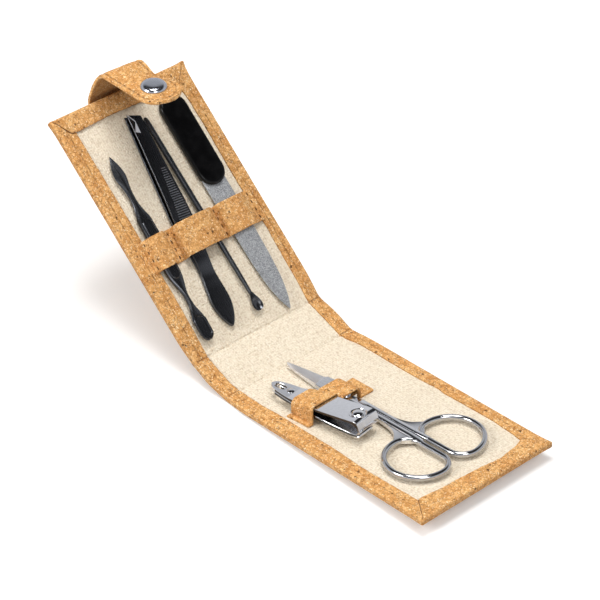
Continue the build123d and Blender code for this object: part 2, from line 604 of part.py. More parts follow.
def build():
    """Every piece by node name, placed, before the final move to the origin."""
    pieces = {}
    cover, board, lining = section(FRONT_LENGTH, FRONT_END_HEM)
    stud_place = Pos(TAB_X, -stud_s, 0)
    bore = stud_place * rod(STUD_RIVET, -5, LINING_TOP - LINING)
    seat = stud_place * rod(4.5, LINING_TOP - LINING - 0.35, LINING_TOP - LINING)
    pieces["front_cork_cover"] = front_place * (half_turn * cover - bore)
    pieces["front_board"] = front_place * (half_turn * board - bore - seat)
    pieces["front_lining"] = front_place * half_turn * lining
    pieces["front_tool_strap"] = front_place * front_strap()
    pieces["snap_stud"] = front_place * stud_place * stud()
    pieces["snap_stud_rivet"] = front_place * stud_place * stud_rivet()

    cover, board, lining = section(SPINE_LENGTH, 0.0, closed=False)
    pieces["spine_cork_cover"] = spine_place * cover
    pieces["spine_board"] = spine_place * board
    pieces["spine_lining"] = spine_place * lining

    cover, board, lining = section(BACK_LENGTH, BACK_END_HEM)
    pieces["back_cork_cover"] = back_place * cover
    pieces["back_board"] = back_place * board
    pieces["back_lining"] = back_place * lining
    pieces["back_tool_strap"] = back_place * back_strap()

    pieces["tab_patch"] = back_place * tab_patch()
    pieces["tab_bridge"] = back_place * tab_bridge(tab_hinge, tab_crest)
    pieces["tab_flap"] = flap_place * tab_flap()
    pieces["snap_cap"] = snap_place * snap_cap()
    pieces["snap_socket"] = snap_place * snap_socket()

    pusher_place = on_back(PUSHER_PLACE, PUSHER_SKEW) * Pos(0, 0, PUSHER_HEIGHT)
    pieces["cuticle_pusher"] = pusher_place * cuticle_pusher()
    lower_arm, upper_arm = tweezers_arms()
    pieces["tweezers_lower_arm"] = on_back(TWEEZERS_PLACE, TWEEZERS_SKEW) * lower_arm
    pieces["tweezers_upper_arm"] = on_back(TWEEZERS_PLACE, TWEEZERS_SKEW) * upper_arm
    pieces["ear_pick"] = on_back(PICK_PLACE, PICK_SKEW) * Pos(0, 0, PICK_HEIGHT) * ear_pick()
    blade, handle = nail_file()
    pieces["nail_file_blade"] = on_back(FILE_PLACE, FILE_SKEW) * blade
    pieces["nail_file_handle"] = on_back(FILE_PLACE, FILE_SKEW) * handle

    lower, upper, screw = scissors()
    scissors_place = on_front(SCISSORS_PLACE, SCISSORS_SKEW)
    pieces["scissors_right_half"] = scissors_place * lower
    pieces["scissors_left_half"] = scissors_place * upper
    pieces["scissors_screw"] = scissors_place * screw

    lower_leaf, upper_leaf, lever, post, rivet = clipper()
    clipper_place = on_front(CLIPPER_PLACE, CLIPPER_SKEW)
    pieces["clipper_lower_leaf"] = clipper_place * lower_leaf
    pieces["clipper_upper_leaf"] = clipper_place * upper_leaf
    pieces["clipper_lever"] = clipper_place * lever
    pieces["clipper_post"] = clipper_place * post
    pieces["clipper_rivet"] = clipper_place * rivet
    return pieces


pieces = build()
whole = Compound(list(pieces.values())).bounding_box()
to_origin = Pos(-(whole.min.X + whole.max.X) / 2, -(whole.min.Y + whole.max.Y) / 2, -whole.min.Z)

os.makedirs("parts", exist_ok=True)
for name, shape in pieces.items():
    export_step(to_origin * shape, f"parts/{name}.step")
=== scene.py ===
# %% [markdown]
# # A cork manicure case
#
# The case stands half open: a front section that lies on the table, a narrow spine and a
# back section that leans up. Steel tools sit behind two cork straps. The imported model is
# loaded first, because every piece built below must sit on it, and many ride on its bodies.

# %% Load the frame
import bpy
import bmesh
import math
from mathutils import Matrix, Vector, noise


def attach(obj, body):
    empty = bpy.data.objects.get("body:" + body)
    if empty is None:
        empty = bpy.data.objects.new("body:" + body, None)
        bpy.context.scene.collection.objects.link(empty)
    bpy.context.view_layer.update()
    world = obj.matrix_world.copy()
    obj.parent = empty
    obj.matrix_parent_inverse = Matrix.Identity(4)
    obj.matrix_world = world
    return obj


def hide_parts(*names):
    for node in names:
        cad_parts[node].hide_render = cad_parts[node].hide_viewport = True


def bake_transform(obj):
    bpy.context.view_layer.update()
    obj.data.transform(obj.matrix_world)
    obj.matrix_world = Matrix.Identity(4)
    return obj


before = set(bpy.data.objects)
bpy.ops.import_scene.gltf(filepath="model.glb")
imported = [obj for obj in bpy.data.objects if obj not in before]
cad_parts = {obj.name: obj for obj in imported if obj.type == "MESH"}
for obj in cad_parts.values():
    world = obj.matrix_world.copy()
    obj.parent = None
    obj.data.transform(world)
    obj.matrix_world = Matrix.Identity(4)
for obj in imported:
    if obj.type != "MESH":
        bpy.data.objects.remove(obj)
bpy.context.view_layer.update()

# %% [markdown]
# ## Where the three sections stand
#
# Each section is easiest to draw flat, as x across, s along from its crease and n up from
# the top of the turned-in hem. Three matrices carry such a flat drawing, in millimetres,
# to its place. They repeat the sizes of the case, so a tool drawn with them lands exactly
# where its solid lies.

# %% Section frames in millimetres
HALF = 35.0                 # half the case's width
FRONT, SPINE, BACK = 112.6, 20.2, 114.6      # lengths of the three sections
LINING = -0.7               # the lining lies this far under the hem
FRONT_TILT, SPINE_TILT, BACK_TILT = 2.684, 17.9, 41.1
CREASE = Vector((0.0, 1.577, 2.842))


def turn(angle, axis="X"):
    return Matrix.Rotation(math.radians(angle), 4, axis)


def shift(x, y, z):
    return Matrix.Translation((x, y, z))


front_frame = Matrix.Translation(CREASE) @ turn(-FRONT_TILT) @ turn(180, "Z")
spine_frame = Matrix.Translation(CREASE) @ turn(SPINE_TILT)
back_frame = spine_frame @ shift(0, SPINE, 0) @ turn(BACK_TILT - SPINE_TILT)
print("second crease at", [round(v, 2) for v in back_frame.translation])


def on_front(x, s, skew):
    """Frame of a tool on the front lining, its +Y towards the crease."""
    return front_frame @ turn(180, "Z") @ shift(x, -s, LINING) @ turn(skew, "Z")


def on_back(x, s, skew):
    """Frame of a tool on the back lining, its +Y up the section."""
    return back_frame @ shift(x, s, LINING) @ turn(skew, "Z")


# %% [markdown]
# ## Shader helpers
#
# A material here is a small calculation: take the place on the surface, make noise or
# cells from it, mix two colours. Writing that as Python sums is easier to read than
# wiring nodes one by one, so a thin class wraps a socket and gives it + - * and so on.

# %% A socket that can be calculated with
class Wire:
    """An output socket that takes part in sums."""

    def __init__(self, shop, socket):
        self.shop, self.socket = shop, socket

    def maths(self, operation, first, second=None):
        return self.shop.node("ShaderNodeMath", {"operation": operation}, first, second)

    def __add__(self, other):
        return self.maths("ADD", self, other)

    def __radd__(self, other):
        return self.maths("ADD", other, self)

    def __sub__(self, other):
        return self.maths("SUBTRACT", self, other)

    def __rsub__(self, other):
        return self.maths("SUBTRACT", other, self)

    def __mul__(self, other):
        return self.maths("MULTIPLY", self, other)

    def __rmul__(self, other):
        return self.maths("MULTIPLY", other, self)

    def __truediv__(self, other):
        return self.maths("DIVIDE", self, other)

    def __rtruediv__(self, other):
        return self.maths("DIVIDE", other, self)

    def __abs__(self):
        return self.maths("ABSOLUTE", self)

    def other(self, name):
        """Another output of the same node."""
        return Wire(self.shop, self.socket.node.outputs[name])

    def above(self, edge, soft):
        """0 below the edge, 1 above it, with a soft step."""
        return self.shop.node("ShaderNodeMapRange", {"interpolation_type": "SMOOTHSTEP"},
                              self, edge - soft, edge + soft, 0.0, 1.0)


print("operators on sockets ready")

# %% [markdown]
# ## A material's node tree
#
# A material is one tree of nodes that ends in a Principled shader. One method makes any
# node, and short ones name the few that are used again and again, so each recipe below
# reads like its description. The world's light is such a tree too, and uses the same class.

# %% One material
class Shop:
    """The node tree of one material, or of a world that is handed in."""

    def __init__(self, name, world=None):
        self.owner = world or bpy.data.materials.new(name)
        self.owner.use_nodes = True
        self.tree = self.owner.node_tree
        self.tree.nodes.clear()
        if world is None:
            self.surface = self.node("ShaderNodeBsdfPrincipled")
            self.node("ShaderNodeOutputMaterial", {}, self.surface)

    def feed(self, socket, value):
        if isinstance(value, Wire):
            self.tree.links.new(value.socket, socket)
        elif value is not None:
            if hasattr(socket.default_value, "__len__") and len(socket.default_value) == 4:
                value = tuple(value) + (1.0,) if len(value) == 3 else value
            socket.default_value = value

    def node(self, kind, settings=None, *inputs, out=0, **named):
        made = self.tree.nodes.new(kind)
        for key, value in (settings or {}).items():
            if key == "stops":
                ramp = made.color_ramp
                while len(ramp.elements) < len(value):
                    ramp.elements.new(0.5)
                for element, (place, colour) in zip(ramp.elements, value):
                    element.position, element.color = place, tuple(colour) + (1.0,)
            else:
                setattr(made, key, value)
        for socket, value in zip(made.inputs, inputs):
            self.feed(socket, value)
        for key, value in named.items():
            self.feed(made.inputs[key.replace("_", " ")], value)
        return Wire(self, made.outputs[out]) if made.outputs else made

    def mix(self, share, a, b, blend="MIX"):
        """Colour a towards colour b. A Mix node's two colour sockets are its seventh and
        eighth, after those for numbers and vectors."""
        unused = [None] * 5
        return self.node("ShaderNodeMix", {"data_type": "RGBA", "blend_type": blend}, share,
                         *unused, a, b, out=2)

    def place(self):
        """Place on the piece in millimetres."""
        return self.scaled(self.node("ShaderNodeTexCoord", out=3), (1000.0,) * 3)

    def cloth(self):
        """Place in the flat cloth in millimetres, stored on the mesh."""
        where = self.node("ShaderNodeAttribute", {"attribute_name": "flat_mm"}, out=1)
        return self.scaled(where, (1.0,) * 3)

    def scaled(self, where, factors):
        return self.node("ShaderNodeVectorMath", {"operation": "MULTIPLY"}, where, factors)

    def noise(self, where, scale, detail, **more):
        return self.node("ShaderNodeTexNoise", {}, Vector=where, Scale=scale, Detail=detail,
                         **more)

    def cells(self, where, scale, feature="F1", out=0):
        """Cell noise. Output 0 is the distance to a cell's middle, 1 its random colour."""
        return self.node("ShaderNodeTexVoronoi", {"feature": feature}, Vector=where,
                         Scale=scale, out=out)

    def channel(self, colour):
        return self.node("ShaderNodeSeparateColor", {}, colour)

    def ramp(self, value, *stops):
        return self.node("ShaderNodeValToRGB", {"stops": stops}, value)

    def finish(self, bump=None, height=0.0001, strength=0.5, **sockets):
        if bump is not None:
            sockets["Normal"] = self.node("ShaderNodeBump", {}, Strength=strength,
                                          Distance=height, Height=bump)
        for key, value in sockets.items():
            self.feed(self.surface.socket.node.inputs[key.replace("_", " ")], value)
        return self.owner


print("shader helpers ready")

# %% [markdown]
# ## Cork cloth
#
# Cork cloth is a thin slice of pressed granules: warm tan grains of slightly different
# tint, pale flecks between them and a few dark bark specks. Cell noise makes the grains
# and their tints, a stretched second cell noise makes the flecks, and a thresholded fine
# noise scatters the bark. The same recipe is needed for pieces that bend, which carry
# their flat place with them, and for pieces that don't.

# %% Cork
def cork(name, place_of):
    shop = Shop(name)
    flat = place_of(shop)
    wobble = shop.noise(flat, 0.8, 3.0, out=1)
    where = shop.node("ShaderNodeVectorMath", {"operation": "MULTIPLY_ADD"}, wobble,
                      (1.5,) * 3, flat)
    grain = shop.cells(where, 0.8, out=1)
    tint = shop.channel(grain)
    edge = shop.cells(where, 0.8, "DISTANCE_TO_EDGE")
    fine = shop.noise(where, 1.5, 4.0, Roughness=0.75)
    cloud = shop.noise(flat, 0.11, 2.0)
    bend = shop.noise(flat, 0.5, 3.0)
    split = shop.noise(where, 0.95, 1.0)
    patchy = shop.noise(flat, 0.3, 1.0)
    fleck = shop.cells(shop.scaled(where, (1.0, 0.7, 1.0)), 1.25)
    chosen = shop.channel(fleck.other("Color"))
    speck = shop.cells(shop.scaled(where, (1.0, 0.75, 1.0)), 0.36)
    rare = shop.channel(speck.other("Color"))
    tan = shop.ramp(tint * 0.45 + fine * 1.5 - 0.50,
                    (0.0, (0.40, 0.17, 0.045)), (0.35, (0.66, 0.335, 0.105)),
                    (0.65, (0.83, 0.49, 0.195)), (1.0, (0.93, 0.65, 0.33)))
    pale = shop.mix((0.42 - fleck).above(0.14, 0.10) * chosen.above(0.42, 0.05), tan,
                    (0.98, 0.80, 0.50))
    crack = (0.035 - abs(bend - 0.5)).above(0.02, 0.012) * patchy.above(0.46, 0.08)
    seams = shop.mix((0.09 - edge).above(0.05, 0.04) * fine.above(0.45, 0.1) * 0.75, pale,
                     (0.30, 0.12, 0.035))
    dashes = (0.05 - abs(split - 0.5)).above(0.025, 0.015) * fine.above(0.52, 0.06)
    seams = shop.mix(dashes * 0.7, seams, (0.26, 0.10, 0.03))
    lines = shop.mix(crack * 0.85, seams, (0.20, 0.075, 0.022))
    shaded = shop.mix(cloud.above(0.52, 0.12) * 0.35, lines, (0.86, 0.68, 0.50), "MULTIPLY")
    spot = (0.34 - speck).above(0.18, 0.07) * rare.above(0.66, 0.02)
    bark = shop.mix(spot * 0.9, shaded, (0.075, 0.03, 0.014))
    # stored darkness: dark stitches and cut edges, hems darker along the folds and under the rim,
    # and painted shade on the back section's pieces and the tab's inner face
    worn = shop.node("ShaderNodeAttribute", {"attribute_name": "worn"}, out=2)
    marked_and_shaded = shop.mix(worn * 0.85, bark, (0.13, 0.05, 0.018))
    relief = fine * 0.9 + pale_height(fleck, chosen) - crack * 0.5 - dashes * 0.4 - spot * 0.8
    return shop.finish(relief, 0.0002, 0.7, Base_Color=marked_and_shaded, Roughness=fine * 0.25 + 0.62,
                       Specular_IOR_Level=0.2)


def pale_height(fleck, chosen):
    """Pale flecks stand a little proud."""
    return (0.42 - fleck).above(0.14, 0.12) * chosen.above(0.42, 0.05) * 0.3


cork_bent = cork("cork_cloth_bent", Shop.cloth)
cork_solid = cork("cork_cloth_solid", Shop.place)
print("cork", cork_bent.name, cork_solid.name)

# %% [markdown]
# ## Lining
#
# The lining is a short-haired woven cloth, cream, with painted shade in its hollows: one
# value gives both its relief and its colour, which darkens where the relief is low. A lumpy
# noise gives the nap and a fine crossed wave hints at the threads under it.

# %% Lining cloth
def lining_cloth():
    shop = Shop("cream_lining")
    where = shop.cloth()
    nap = shop.noise(where, 1.15, 4.0, Roughness=0.68)
    curl = shop.cells(where, 1.1, "SMOOTH_F1")
    across, along = [shop.node("ShaderNodeTexWave", {"bands_direction": way}, Vector=where,
                               Scale=0.3, Distortion=1.8, Detail_Scale=2.0, out=1)
                     for way in "XY"]
    cloud = shop.noise(where, 0.05, 2.0)
    weave = across * along
    tone = nap * 1.15 - curl * 0.6 + weave * 0.2 + 0.12
    # painted shade: the colour darkens where the relief is low
    cream = shop.ramp(tone, (0.15, (0.62, 0.50, 0.36)), (0.45, (0.79, 0.685, 0.535)),
                      (0.75, (0.90, 0.815, 0.675)))
    cream = shop.mix(cloud.above(0.55, 0.2) * 0.12, cream, (0.70, 0.58, 0.44))
    return shop.finish(tone, 0.00055, 1.0, Base_Color=cream, Roughness=0.95,
                       Specular_IOR_Level=0.1, Sheen_Weight=0.1, Sheen_Roughness=0.6)


lining_weave = lining_cloth()
print("lining", lining_weave.name)

# %% [markdown]
# ## Metals
#
# The tools on the back are steel with a black nickel finish: dark, still glossy, with fine
# polishing marks along the tool. The clipper and the scissors are bright steel. One recipe
# with another colour and roughness serves them all.

# %% Metals
def metal(name, colour, rough, streak=0.06, along=(0.5, 0.04, 0.5), smudge=0.05):
    shop = Shop(name)
    where = shop.place()
    lines = shop.noise(shop.scaled(where, along), 9.0, 3.0)
    cloud = shop.noise(where, 0.16, 3.0)
    paint = shop.mix(lines, [c * 0.86 for c in colour], [min(c * 1.14, 1.0) for c in colour])
    rough_map = lines * streak + cloud * smudge + (rough - streak / 2 - smudge / 2)
    return shop.finish(lines, 0.00001, 0.12, Base_Color=paint, Metallic=1.0, Roughness=rough_map)


black_nickel = metal("black_nickel", (0.085, 0.088, 0.096), 0.27)
# a lighter grey nickel, for the tweezers' grip ribs
rib_grey_nickel = metal("rib_grey_nickel", (0.42, 0.43, 0.46), 0.35)
bright_steel = metal("bright_steel", (0.74, 0.745, 0.77), 0.13)
snap_metal = metal("snap_metal", (0.52, 0.54, 0.59), 0.2)
ground_steel = metal("ground_steel", (0.80, 0.80, 0.82), 0.45)
ring_steel = metal("ring_steel", (0.55, 0.555, 0.575), 0.13)
metals = (black_nickel, rib_grey_nickel, bright_steel, snap_metal, ground_steel, ring_steel)
print("metals", [made.name for made in metals])

# %% [markdown]
# ## Grit on the file
#
# The file's blade is coated with crushed mineral, each grain a little lighter or darker
# than the next. Small random cells give that sparkle, which a smooth noise would blur.

# %% Grit
def grit():
    shop = Shop("file_grit")
    where = shop.place()
    grains = shop.cells(where, 3.4, out=1)
    value = shop.channel(grains)
    fine = shop.noise(where, 5.5, 3.0, Roughness=0.7)
    cloud = shop.noise(where, 0.12, 2.0)
    tone = value * 0.5 + fine * 0.6 + cloud * 0.25 - 0.15
    grey = shop.ramp(tone, (0.15, (0.14, 0.145, 0.155)), (0.5, (0.33, 0.34, 0.355)),
                     (0.9, (0.66, 0.67, 0.69)))
    return shop.finish(value, 0.00008, 0.7, Base_Color=grey, Metallic=0.55,
                       Roughness=fine * 0.3 + 0.35)


file_grit = grit()
print("grit", file_grit.name)

# %% [markdown]
# ## Plastic, card and thread
#
# These are plain coloured stuff, with a faint orange-peel relief and a little dust that
# lightens them in patches. One recipe with another colour and roughness does for all.

# %% Plastic, card and thread
def moulded(name, colour, rough):
    shop = Shop(name)
    where = shop.place()
    orange_peel = shop.noise(where, 1.4, 2.0)
    dust = shop.noise(where, 0.25, 4.0)
    paint = shop.mix(dust.above(0.55, 0.2), colour, [c * 1.5 + 0.001 for c in colour])
    return shop.finish(orange_peel, 0.00003, 0.1, Base_Color=paint, Roughness=dust * 0.12 + rough,
                       Specular_IOR_Level=0.22)


black_handle = moulded("black_handle", (0.0018, 0.0018, 0.002), 0.13)
card = moulded("grey_card", (0.38, 0.33, 0.26), 0.8)
thread = moulded("brown_thread", (0.085, 0.038, 0.016), 0.7)
print("plain stuff", [made.name for made in (black_handle, card, thread)])

# %% [markdown]
# ## Making meshes
#
# A mesh is a list of points and a list of faces. Drawing in millimetres keeps the numbers
# easy to read; one helper scales them, shades the piece smooth with sharp creases where
# faces meet at a steep angle, and keeps its frame so that its texture stays with it.

# %% Mesh helpers
def new_object(name, data):
    made = bpy.data.objects.new(name, data)
    bpy.context.scene.collection.objects.link(made)
    return made


def mesh_object(name, points, faces):
    """Object from points in metres."""
    mesh = bpy.data.meshes.new(name)
    mesh.from_pydata(points, [], faces)
    return new_object(name, mesh)


def waver(x, y, z):
    """Smooth random value between about -1 and 1 that depends on the place."""
    return noise.noise(Vector((x, y, z)))


def piece(name, points, faces, place, material, sharp=40.0):
    """Object from points in millimetres in its own frame."""
    made = mesh_object(name, [tuple(c * 0.001 for c in p) for p in points], faces)
    tidy(made, material, sharp)
    made.matrix_world = place_in_metres(place)
    return made


def place_in_metres(place):
    out = place.copy()
    out.translation = out.translation * 0.001
    return out


def tidy(made, material, sharp=40.0):
    """Weld doubles, turn normals outwards, shade smooth with sharp corners."""
    work = bmesh.new()
    work.from_mesh(made.data)
    bmesh.ops.remove_doubles(work, verts=work.verts, dist=1e-6)
    bmesh.ops.recalc_face_normals(work, faces=work.faces)
    work.to_mesh(made.data)
    work.free()
    made.data.polygons.foreach_set("use_smooth", [True] * len(made.data.polygons))
    made.data.set_sharp_from_angle(angle=math.radians(sharp))
    made.data.materials.clear()
    made.data.materials.append(material)


print("objects from points ready")

# %% [markdown]
# ## Grids and tubes
#
# Points that lie in rows are joined into quads; when every row is a closed ring the grid
# becomes a tube, and two more faces close its ends. Most pieces below are one such tube.

# %% Grids and tubes
def turns(count):
    """Angles of count even steps round a circle."""
    return [2 * math.pi * k / count for k in range(count)]


def strung(rings):
    """The points of all rings in one list."""
    return [p for ring in rings for p in ring]


def grid_faces(rows, columns, wrap=False, start=0):
    """Quads over rows x columns points; wrap joins the last column to the first."""
    faces = []
    for r in range(rows - 1):
        for c in range(columns if wrap else columns - 1):
            d = (c + 1) % columns
            faces.append((start + r * columns + c, start + r * columns + d,
                          start + (r + 1) * columns + d, start + (r + 1) * columns + c))
    return faces


def numbered(faces, start):
    """The same faces, their point numbers counted from start."""
    return [tuple(start + v for v in face) for face in faces]


def tube_faces(rings, count, start=0):
    """Faces of a tube of rings with count points each, both ends closed."""
    last = start + (rings - 1) * count
    return grid_faces(rings, count, True, start) + [
        tuple(range(start, start + count))[::-1], tuple(range(last, last + count))]


def loft(name, rings, place, material, sharp=40.0, band=False):
    """Closed rings of equal count joined into a tube, ends closed. A band's ends are
    filled crosswise, because its ring doubles back on itself."""
    count, last = len(rings[0]), (len(rings) - 1) * len(rings[0])
    if band:
        faces = grid_faces(len(rings), count, True)
        for start in (0, last):
            faces += [(start + i, start + i + 1, start + count - 2 - i, start + count - 1 - i)
                      for i in range(count // 2 - 1)]
    else:
        faces = tube_faces(len(rings), count)
    return piece(name, strung(rings), faces, place, material, sharp)


print("grids and tubes ready")

# %% [markdown]
# ## Joining a piece to the model
#
# One helper lets a piece ride on a body; the other only bakes a piece's place into its
# mesh. Both hide the solids that the piece stands in for, the same way for every piece.

# %% Joining to the model
def finished(made, body, slot, *nodes):
    """The piece rides on a body and may stand in for solids, which are hidden. slot is not used."""
    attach(made, body)
    if nodes:
        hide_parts(*nodes)
    return made


def bent(made, first, second, start, end, slot, *nodes):
    """Bakes the piece's place into its mesh and hides the solids it stands in for. first, second,
    start, end and slot are not used.
    """
    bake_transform(made)
    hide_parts(*nodes)
    return made


# %% [markdown]
# ## Curves and tables
#
# Drawn outlines and changing widths come from a few measured points. A spline rounds a
# path through them, and a table is read smoothly between its entries.

# %% Curves and tables
def spline(points, steps=8, closed=False):
    """Smooth Catmull-Rom curve through points."""
    out, n = [], len(points)
    spans = n if closed else n - 1
    for i in range(spans):
        if closed:
            p = [Vector(points[(i + k - 1) % n]) for k in range(4)]
        else:
            p = [Vector(points[min(max(i + k - 1, 0), n - 1)]) for k in range(4)]
        for step in range(steps):
            t = step / steps
            out.append(0.5 * (2 * p[1] + (p[2] - p[0]) * t
                              + (2 * p[0] - 5 * p[1] + 4 * p[2] - p[3]) * t * t
                              + (3 * p[1] - p[0] - 3 * p[2] + p[3]) * t ** 3))
    if not closed:
        out.append(Vector(points[-1]))
    return out


def read(table, y):
    """Value at y in a table of (y, value), smoothly between entries."""
    if y <= table[0][0]:
        return table[0][1]
    for (y0, v0), (y1, v1) in zip(table, table[1:]):
        if y <= y1:
            t = (y - y0) / (y1 - y0)
            t = t * t * (3 - 2 * t)
            return v0 + (v1 - v0) * t
    return table[-1][1]


print("curves and tables ready")

# %% [markdown]
# ## The folding cover
#
# The cover is one sheet of cork cloth: flat outside, rounded over the edge of the card and
# turned in as a hem round the lining. It bends at two creases. A blend can bend a mesh
# across one joint only, so the cover is made as two pieces that meet in the middle of the
# stiff spine, each with one crease in it. The sheet is drawn in flat coordinates and
# carried through a small bend, so both the fold and the texture run on unbroken.

# %% Carry flat cloth through a crease
BEND = 1.4                  # half the length of cloth that takes the bend
MIDDLE = SPINE / 2


def crease_map(corner, before, after, side):
    """Function from flat (x, t, n) to the row frame. t is 0 at the crease, before and
    after are the headings in degrees, side is +1 where n is left of the heading."""
    a = Vector((math.cos(math.radians(before)), math.sin(math.radians(before))))
    b = Vector((math.cos(math.radians(after)), math.sin(math.radians(after))))
    corner = Vector((corner.y, corner.z))

    def carry(x, t, n):
        if t <= -BEND:
            at, heading = corner + a * t, a
        elif t >= BEND:
            at, heading = corner + b * t, b
        else:
            u = (t + BEND) / (2 * BEND)
            at = corner - a * BEND * (1 - u) ** 2 + b * BEND * u ** 2
            heading = (a * (1 - u) + b * u).normalized()
        return Vector((x, at.x - side * heading.y * n, at.y + side * heading.x * n))
    return carry


second_crease = back_frame.translation.copy()
to_front = crease_map(CREASE, 180 + SPINE_TILT, 180 - FRONT_TILT, -1)
to_back = crease_map(second_crease, SPINE_TILT, BACK_TILT, 1)
print("creases at", [[round(v, 2) for v in corner] for corner in (CREASE, second_crease)])


def front_run(t):
    """Place along the whole sheet of a point t in front of the first crease."""
    return -t


def back_run(t):
    """Place along the whole sheet of a point t behind the second crease."""
    return SPINE + t


# %% [markdown]
# ## What the cloth remembers
#
# A texture on cloth that bends has to be read from the cloth's flat shape, or it would
# swim as the case folds. Each point stores its flat place, and how dark it is: dark
# stitches and cut edges, hems darker along the folds and under the rim, and painted
# shade on pieces that lie in less light.

# %% Stored places and wear
def flat_place(made, flats):
    """Store each point's place in the flat cloth, for the textures of cloth that bends."""
    layer = made.data.attributes.new("flat_mm", "FLOAT_VECTOR", "POINT")
    for item, flat in zip(layer.data, flats):
        item.vector = flat


def store_darkness(made, worn):
    """Store how dark each point is, 0 to 1."""
    layer = made.data.attributes.new("worn", "FLOAT", "POINT")
    for item, value in zip(layer.data, worn):
        item.value = value


def paint_shade(made, amount):
    """Darken a whole piece evenly: painted shade, for a section that lies in less light."""
    if "worn" not in made.data.attributes:
        store_darkness(made, [0.0] * len(made.data.vertices))
    for item in made.data.attributes["worn"].data:
        item.value += amount


def cloth_piece(name, flats, faces, carry, along, material, sharp=50.0, worn=()):
    """Mesh of flat points carried into place, in the row frame. The last argument says how
    dark each point is, 0 to 1: dark stitches and cut edges, and hems darker along the folds
    and under the rim."""
    made = mesh_object(name, [tuple(carry(*p) * 0.001) for p in flats], faces)
    flat_place(made, [(x, along(t), n) for x, t, n in flats])
    if worn:
        store_darkness(made, worn)
    tidy(made, material, sharp)
    return made


print("cloth helpers ready")

# %% [markdown]
# ## Cover, turned-in hems and end strips
#
# The hem is cork turned over the card's edge and sewn down, so the cover is drawn as rings
# that start at the inner edge of the hem and run outwards and round to the back. A groove
# with dark dashes is the row of stitches, and both folds are crushed a little. At each end
# the strip is turned in last and lies over the side hems, so it is a piece of its own with
# slanting ends. The edges are cut by hand and waver, which a little noise gives.

# %% Edges of the cloth
def rough_edge(x, t, size=0.14):
    return size * (waver(x * 0.55, t * 0.55, 3.1) * 1.3
                   + waver(x * 2.1, t * 2.1, 7.7) * 0.5)


def rows_to(length):
    near = [-MIDDLE, -8.0, -6.0, -4.6, -3.6] + [-2.8 + 0.2 * i for i in range(29)]
    near += [3.6, 4.6, 6.0, 8.0]
    count = int((length - 8.0) / 2.0)
    return near + [8.0 + (length - 8.0) * (i + 1) / count for i in range(count)]


PROFILE = [(1.0, -0.95), (1.0, -0.35), (1.0, -0.12), (0.985, -0.03), (0.96, 0.02), (0.85, 0.04),
           (0.7, 0.05), (0.6, 0.05), (0.55, 0.04), (0.525, 0.03), (0.5, 0.02), (0.475, 0.03),
           (0.45, 0.05), (0.38, 0.06), (0.25, 0.06), (0.12, 0.04)]   # share of the hem, height
EDGE = [(0.75, -0.02), (0.5, -0.06), (0.28, -0.17), (0.12, -0.34), (0.02, -0.6), (0.0, -1.0),
        (0.0, -1.5), (0.0, -2.1), (0.05, -2.4), (0.17, -2.6), (0.36, -2.74), (0.6, -2.8)]

# where the hem's inner edge runs: (place along the sheet, x); the front counts down from 0
HEM_RIGHT = [(-103, 28.2), (-95, 29.0), (-85, 29.7), (-73, 29.5), (-58, 29.2), (-56, 29.8),
             (-42, 29.1), (-12, 29.3), (0, 27.9), (5, 28.2), (20, 28.3), (31, 28.9), (60, 29.5),
             (78, 28.4), (95, 28.6), (106, 28.8), (118, 28.6), (127, 27.6)]
HEM_LEFT = [(-102, -27.4), (-87, -28.0), (-73, -28.2), (-54, -27.5), (-26, -27.6), (-11, -28.1),
            (0, -27.7), (5, -28.4), (17, -27.9), (22, -27.5), (34, -27.0), (46, -26.6),
            (90, -26.8), (127, -27.1)]
FRONT_END = [(-27.4, 102.4), (-12.3, 103.8), (2.6, 104.8), (13.0, 106.2), (22.0, 105.2),
             (28.2, 103.4)]
BACK_END = [(-27.1, 106.2), (-10.0, 106.8), (10.0, 106.4), (27.6, 106.8)]


def outer_x(place):
    """Half width of the sheet, pulled in a little at the creases."""
    waist = math.exp(-(place / 7.0) ** 2) + math.exp(-((place - SPINE) / 7.0) ** 2)
    return HALF + 0.25 - 0.75 * waist


print("points on the hem's inner edge", len(HEM_RIGHT) + len(HEM_LEFT))

# %% [markdown]
# ## Outer and inner edge
#
# A cover is a stack of rings, from the hem's inner edge over its stitches, round the fold
# at the rim and under to the back. Both edges are drawn with equal counts, so that the
# quads run along the hem and a bend across them stays smooth.

# %% Outer and inner edge
LIFT = 0.06                 # rise of the doubled cloth at the mitres
CORNER, CORNER_STEPS = 0.9, 5                # rounding of the sheet's outer corners
ENDS = 36                   # steps across an end


def outline(length, along, tips, inset):
    """The sheet's edge, moved in by inset, with its end corners drawn out a little."""
    end, r = length - inset, CORNER - min(inset, 0.8)
    w = outer_x(along(length)) - inset
    right = [(outer_x(along(t)) - inset, t) for t in rows_to(length - CORNER)[:-1]]
    right += [(w, length - CORNER)]
    for i in range(CORNER_STEPS):
        a = math.radians(90 * (i + 1) / (CORNER_STEPS + 1))
        right.append((w - r + r * math.cos(a), end - r + r * math.sin(a)))
    across = [((w - r) * (1 - 2 * i / ENDS), end) for i in range(ENDS + 1)]
    drawn = []
    for x, t in right + across + [(-x, t) for x, t in reversed(right)]:
        pull = tips[0] if x < 0 else tips[1]
        share = math.exp(-((length - t) + (HALF - abs(x))) / 2.6)
        drawn.append((x + math.copysign(pull * share, x), t + pull * 0.45 * share))
    return drawn


def window(length, along, end_at):
    """The hem's inner edge, point for point beside the outer one."""
    sides = []
    for table, last in ((HEM_RIGHT, end_at[-1][1]), (HEM_LEFT, end_at[0][1])):
        side = [(read(table, along(min(t, last))), min(t, last))
                for t in rows_to(length - CORNER)]
        sides.append(side + [side[-1]] * CORNER_STEPS)
    x1, x0 = sides[0][-1][0], sides[1][-1][0]
    across = [x1 + (x0 - x1) * i / ENDS for i in range(ENDS + 1)]
    return sides[0] + [(x, read(end_at, x)) for x in across] + sides[1][::-1]


print("rows along the front", len(rows_to(FRONT - CORNER)))
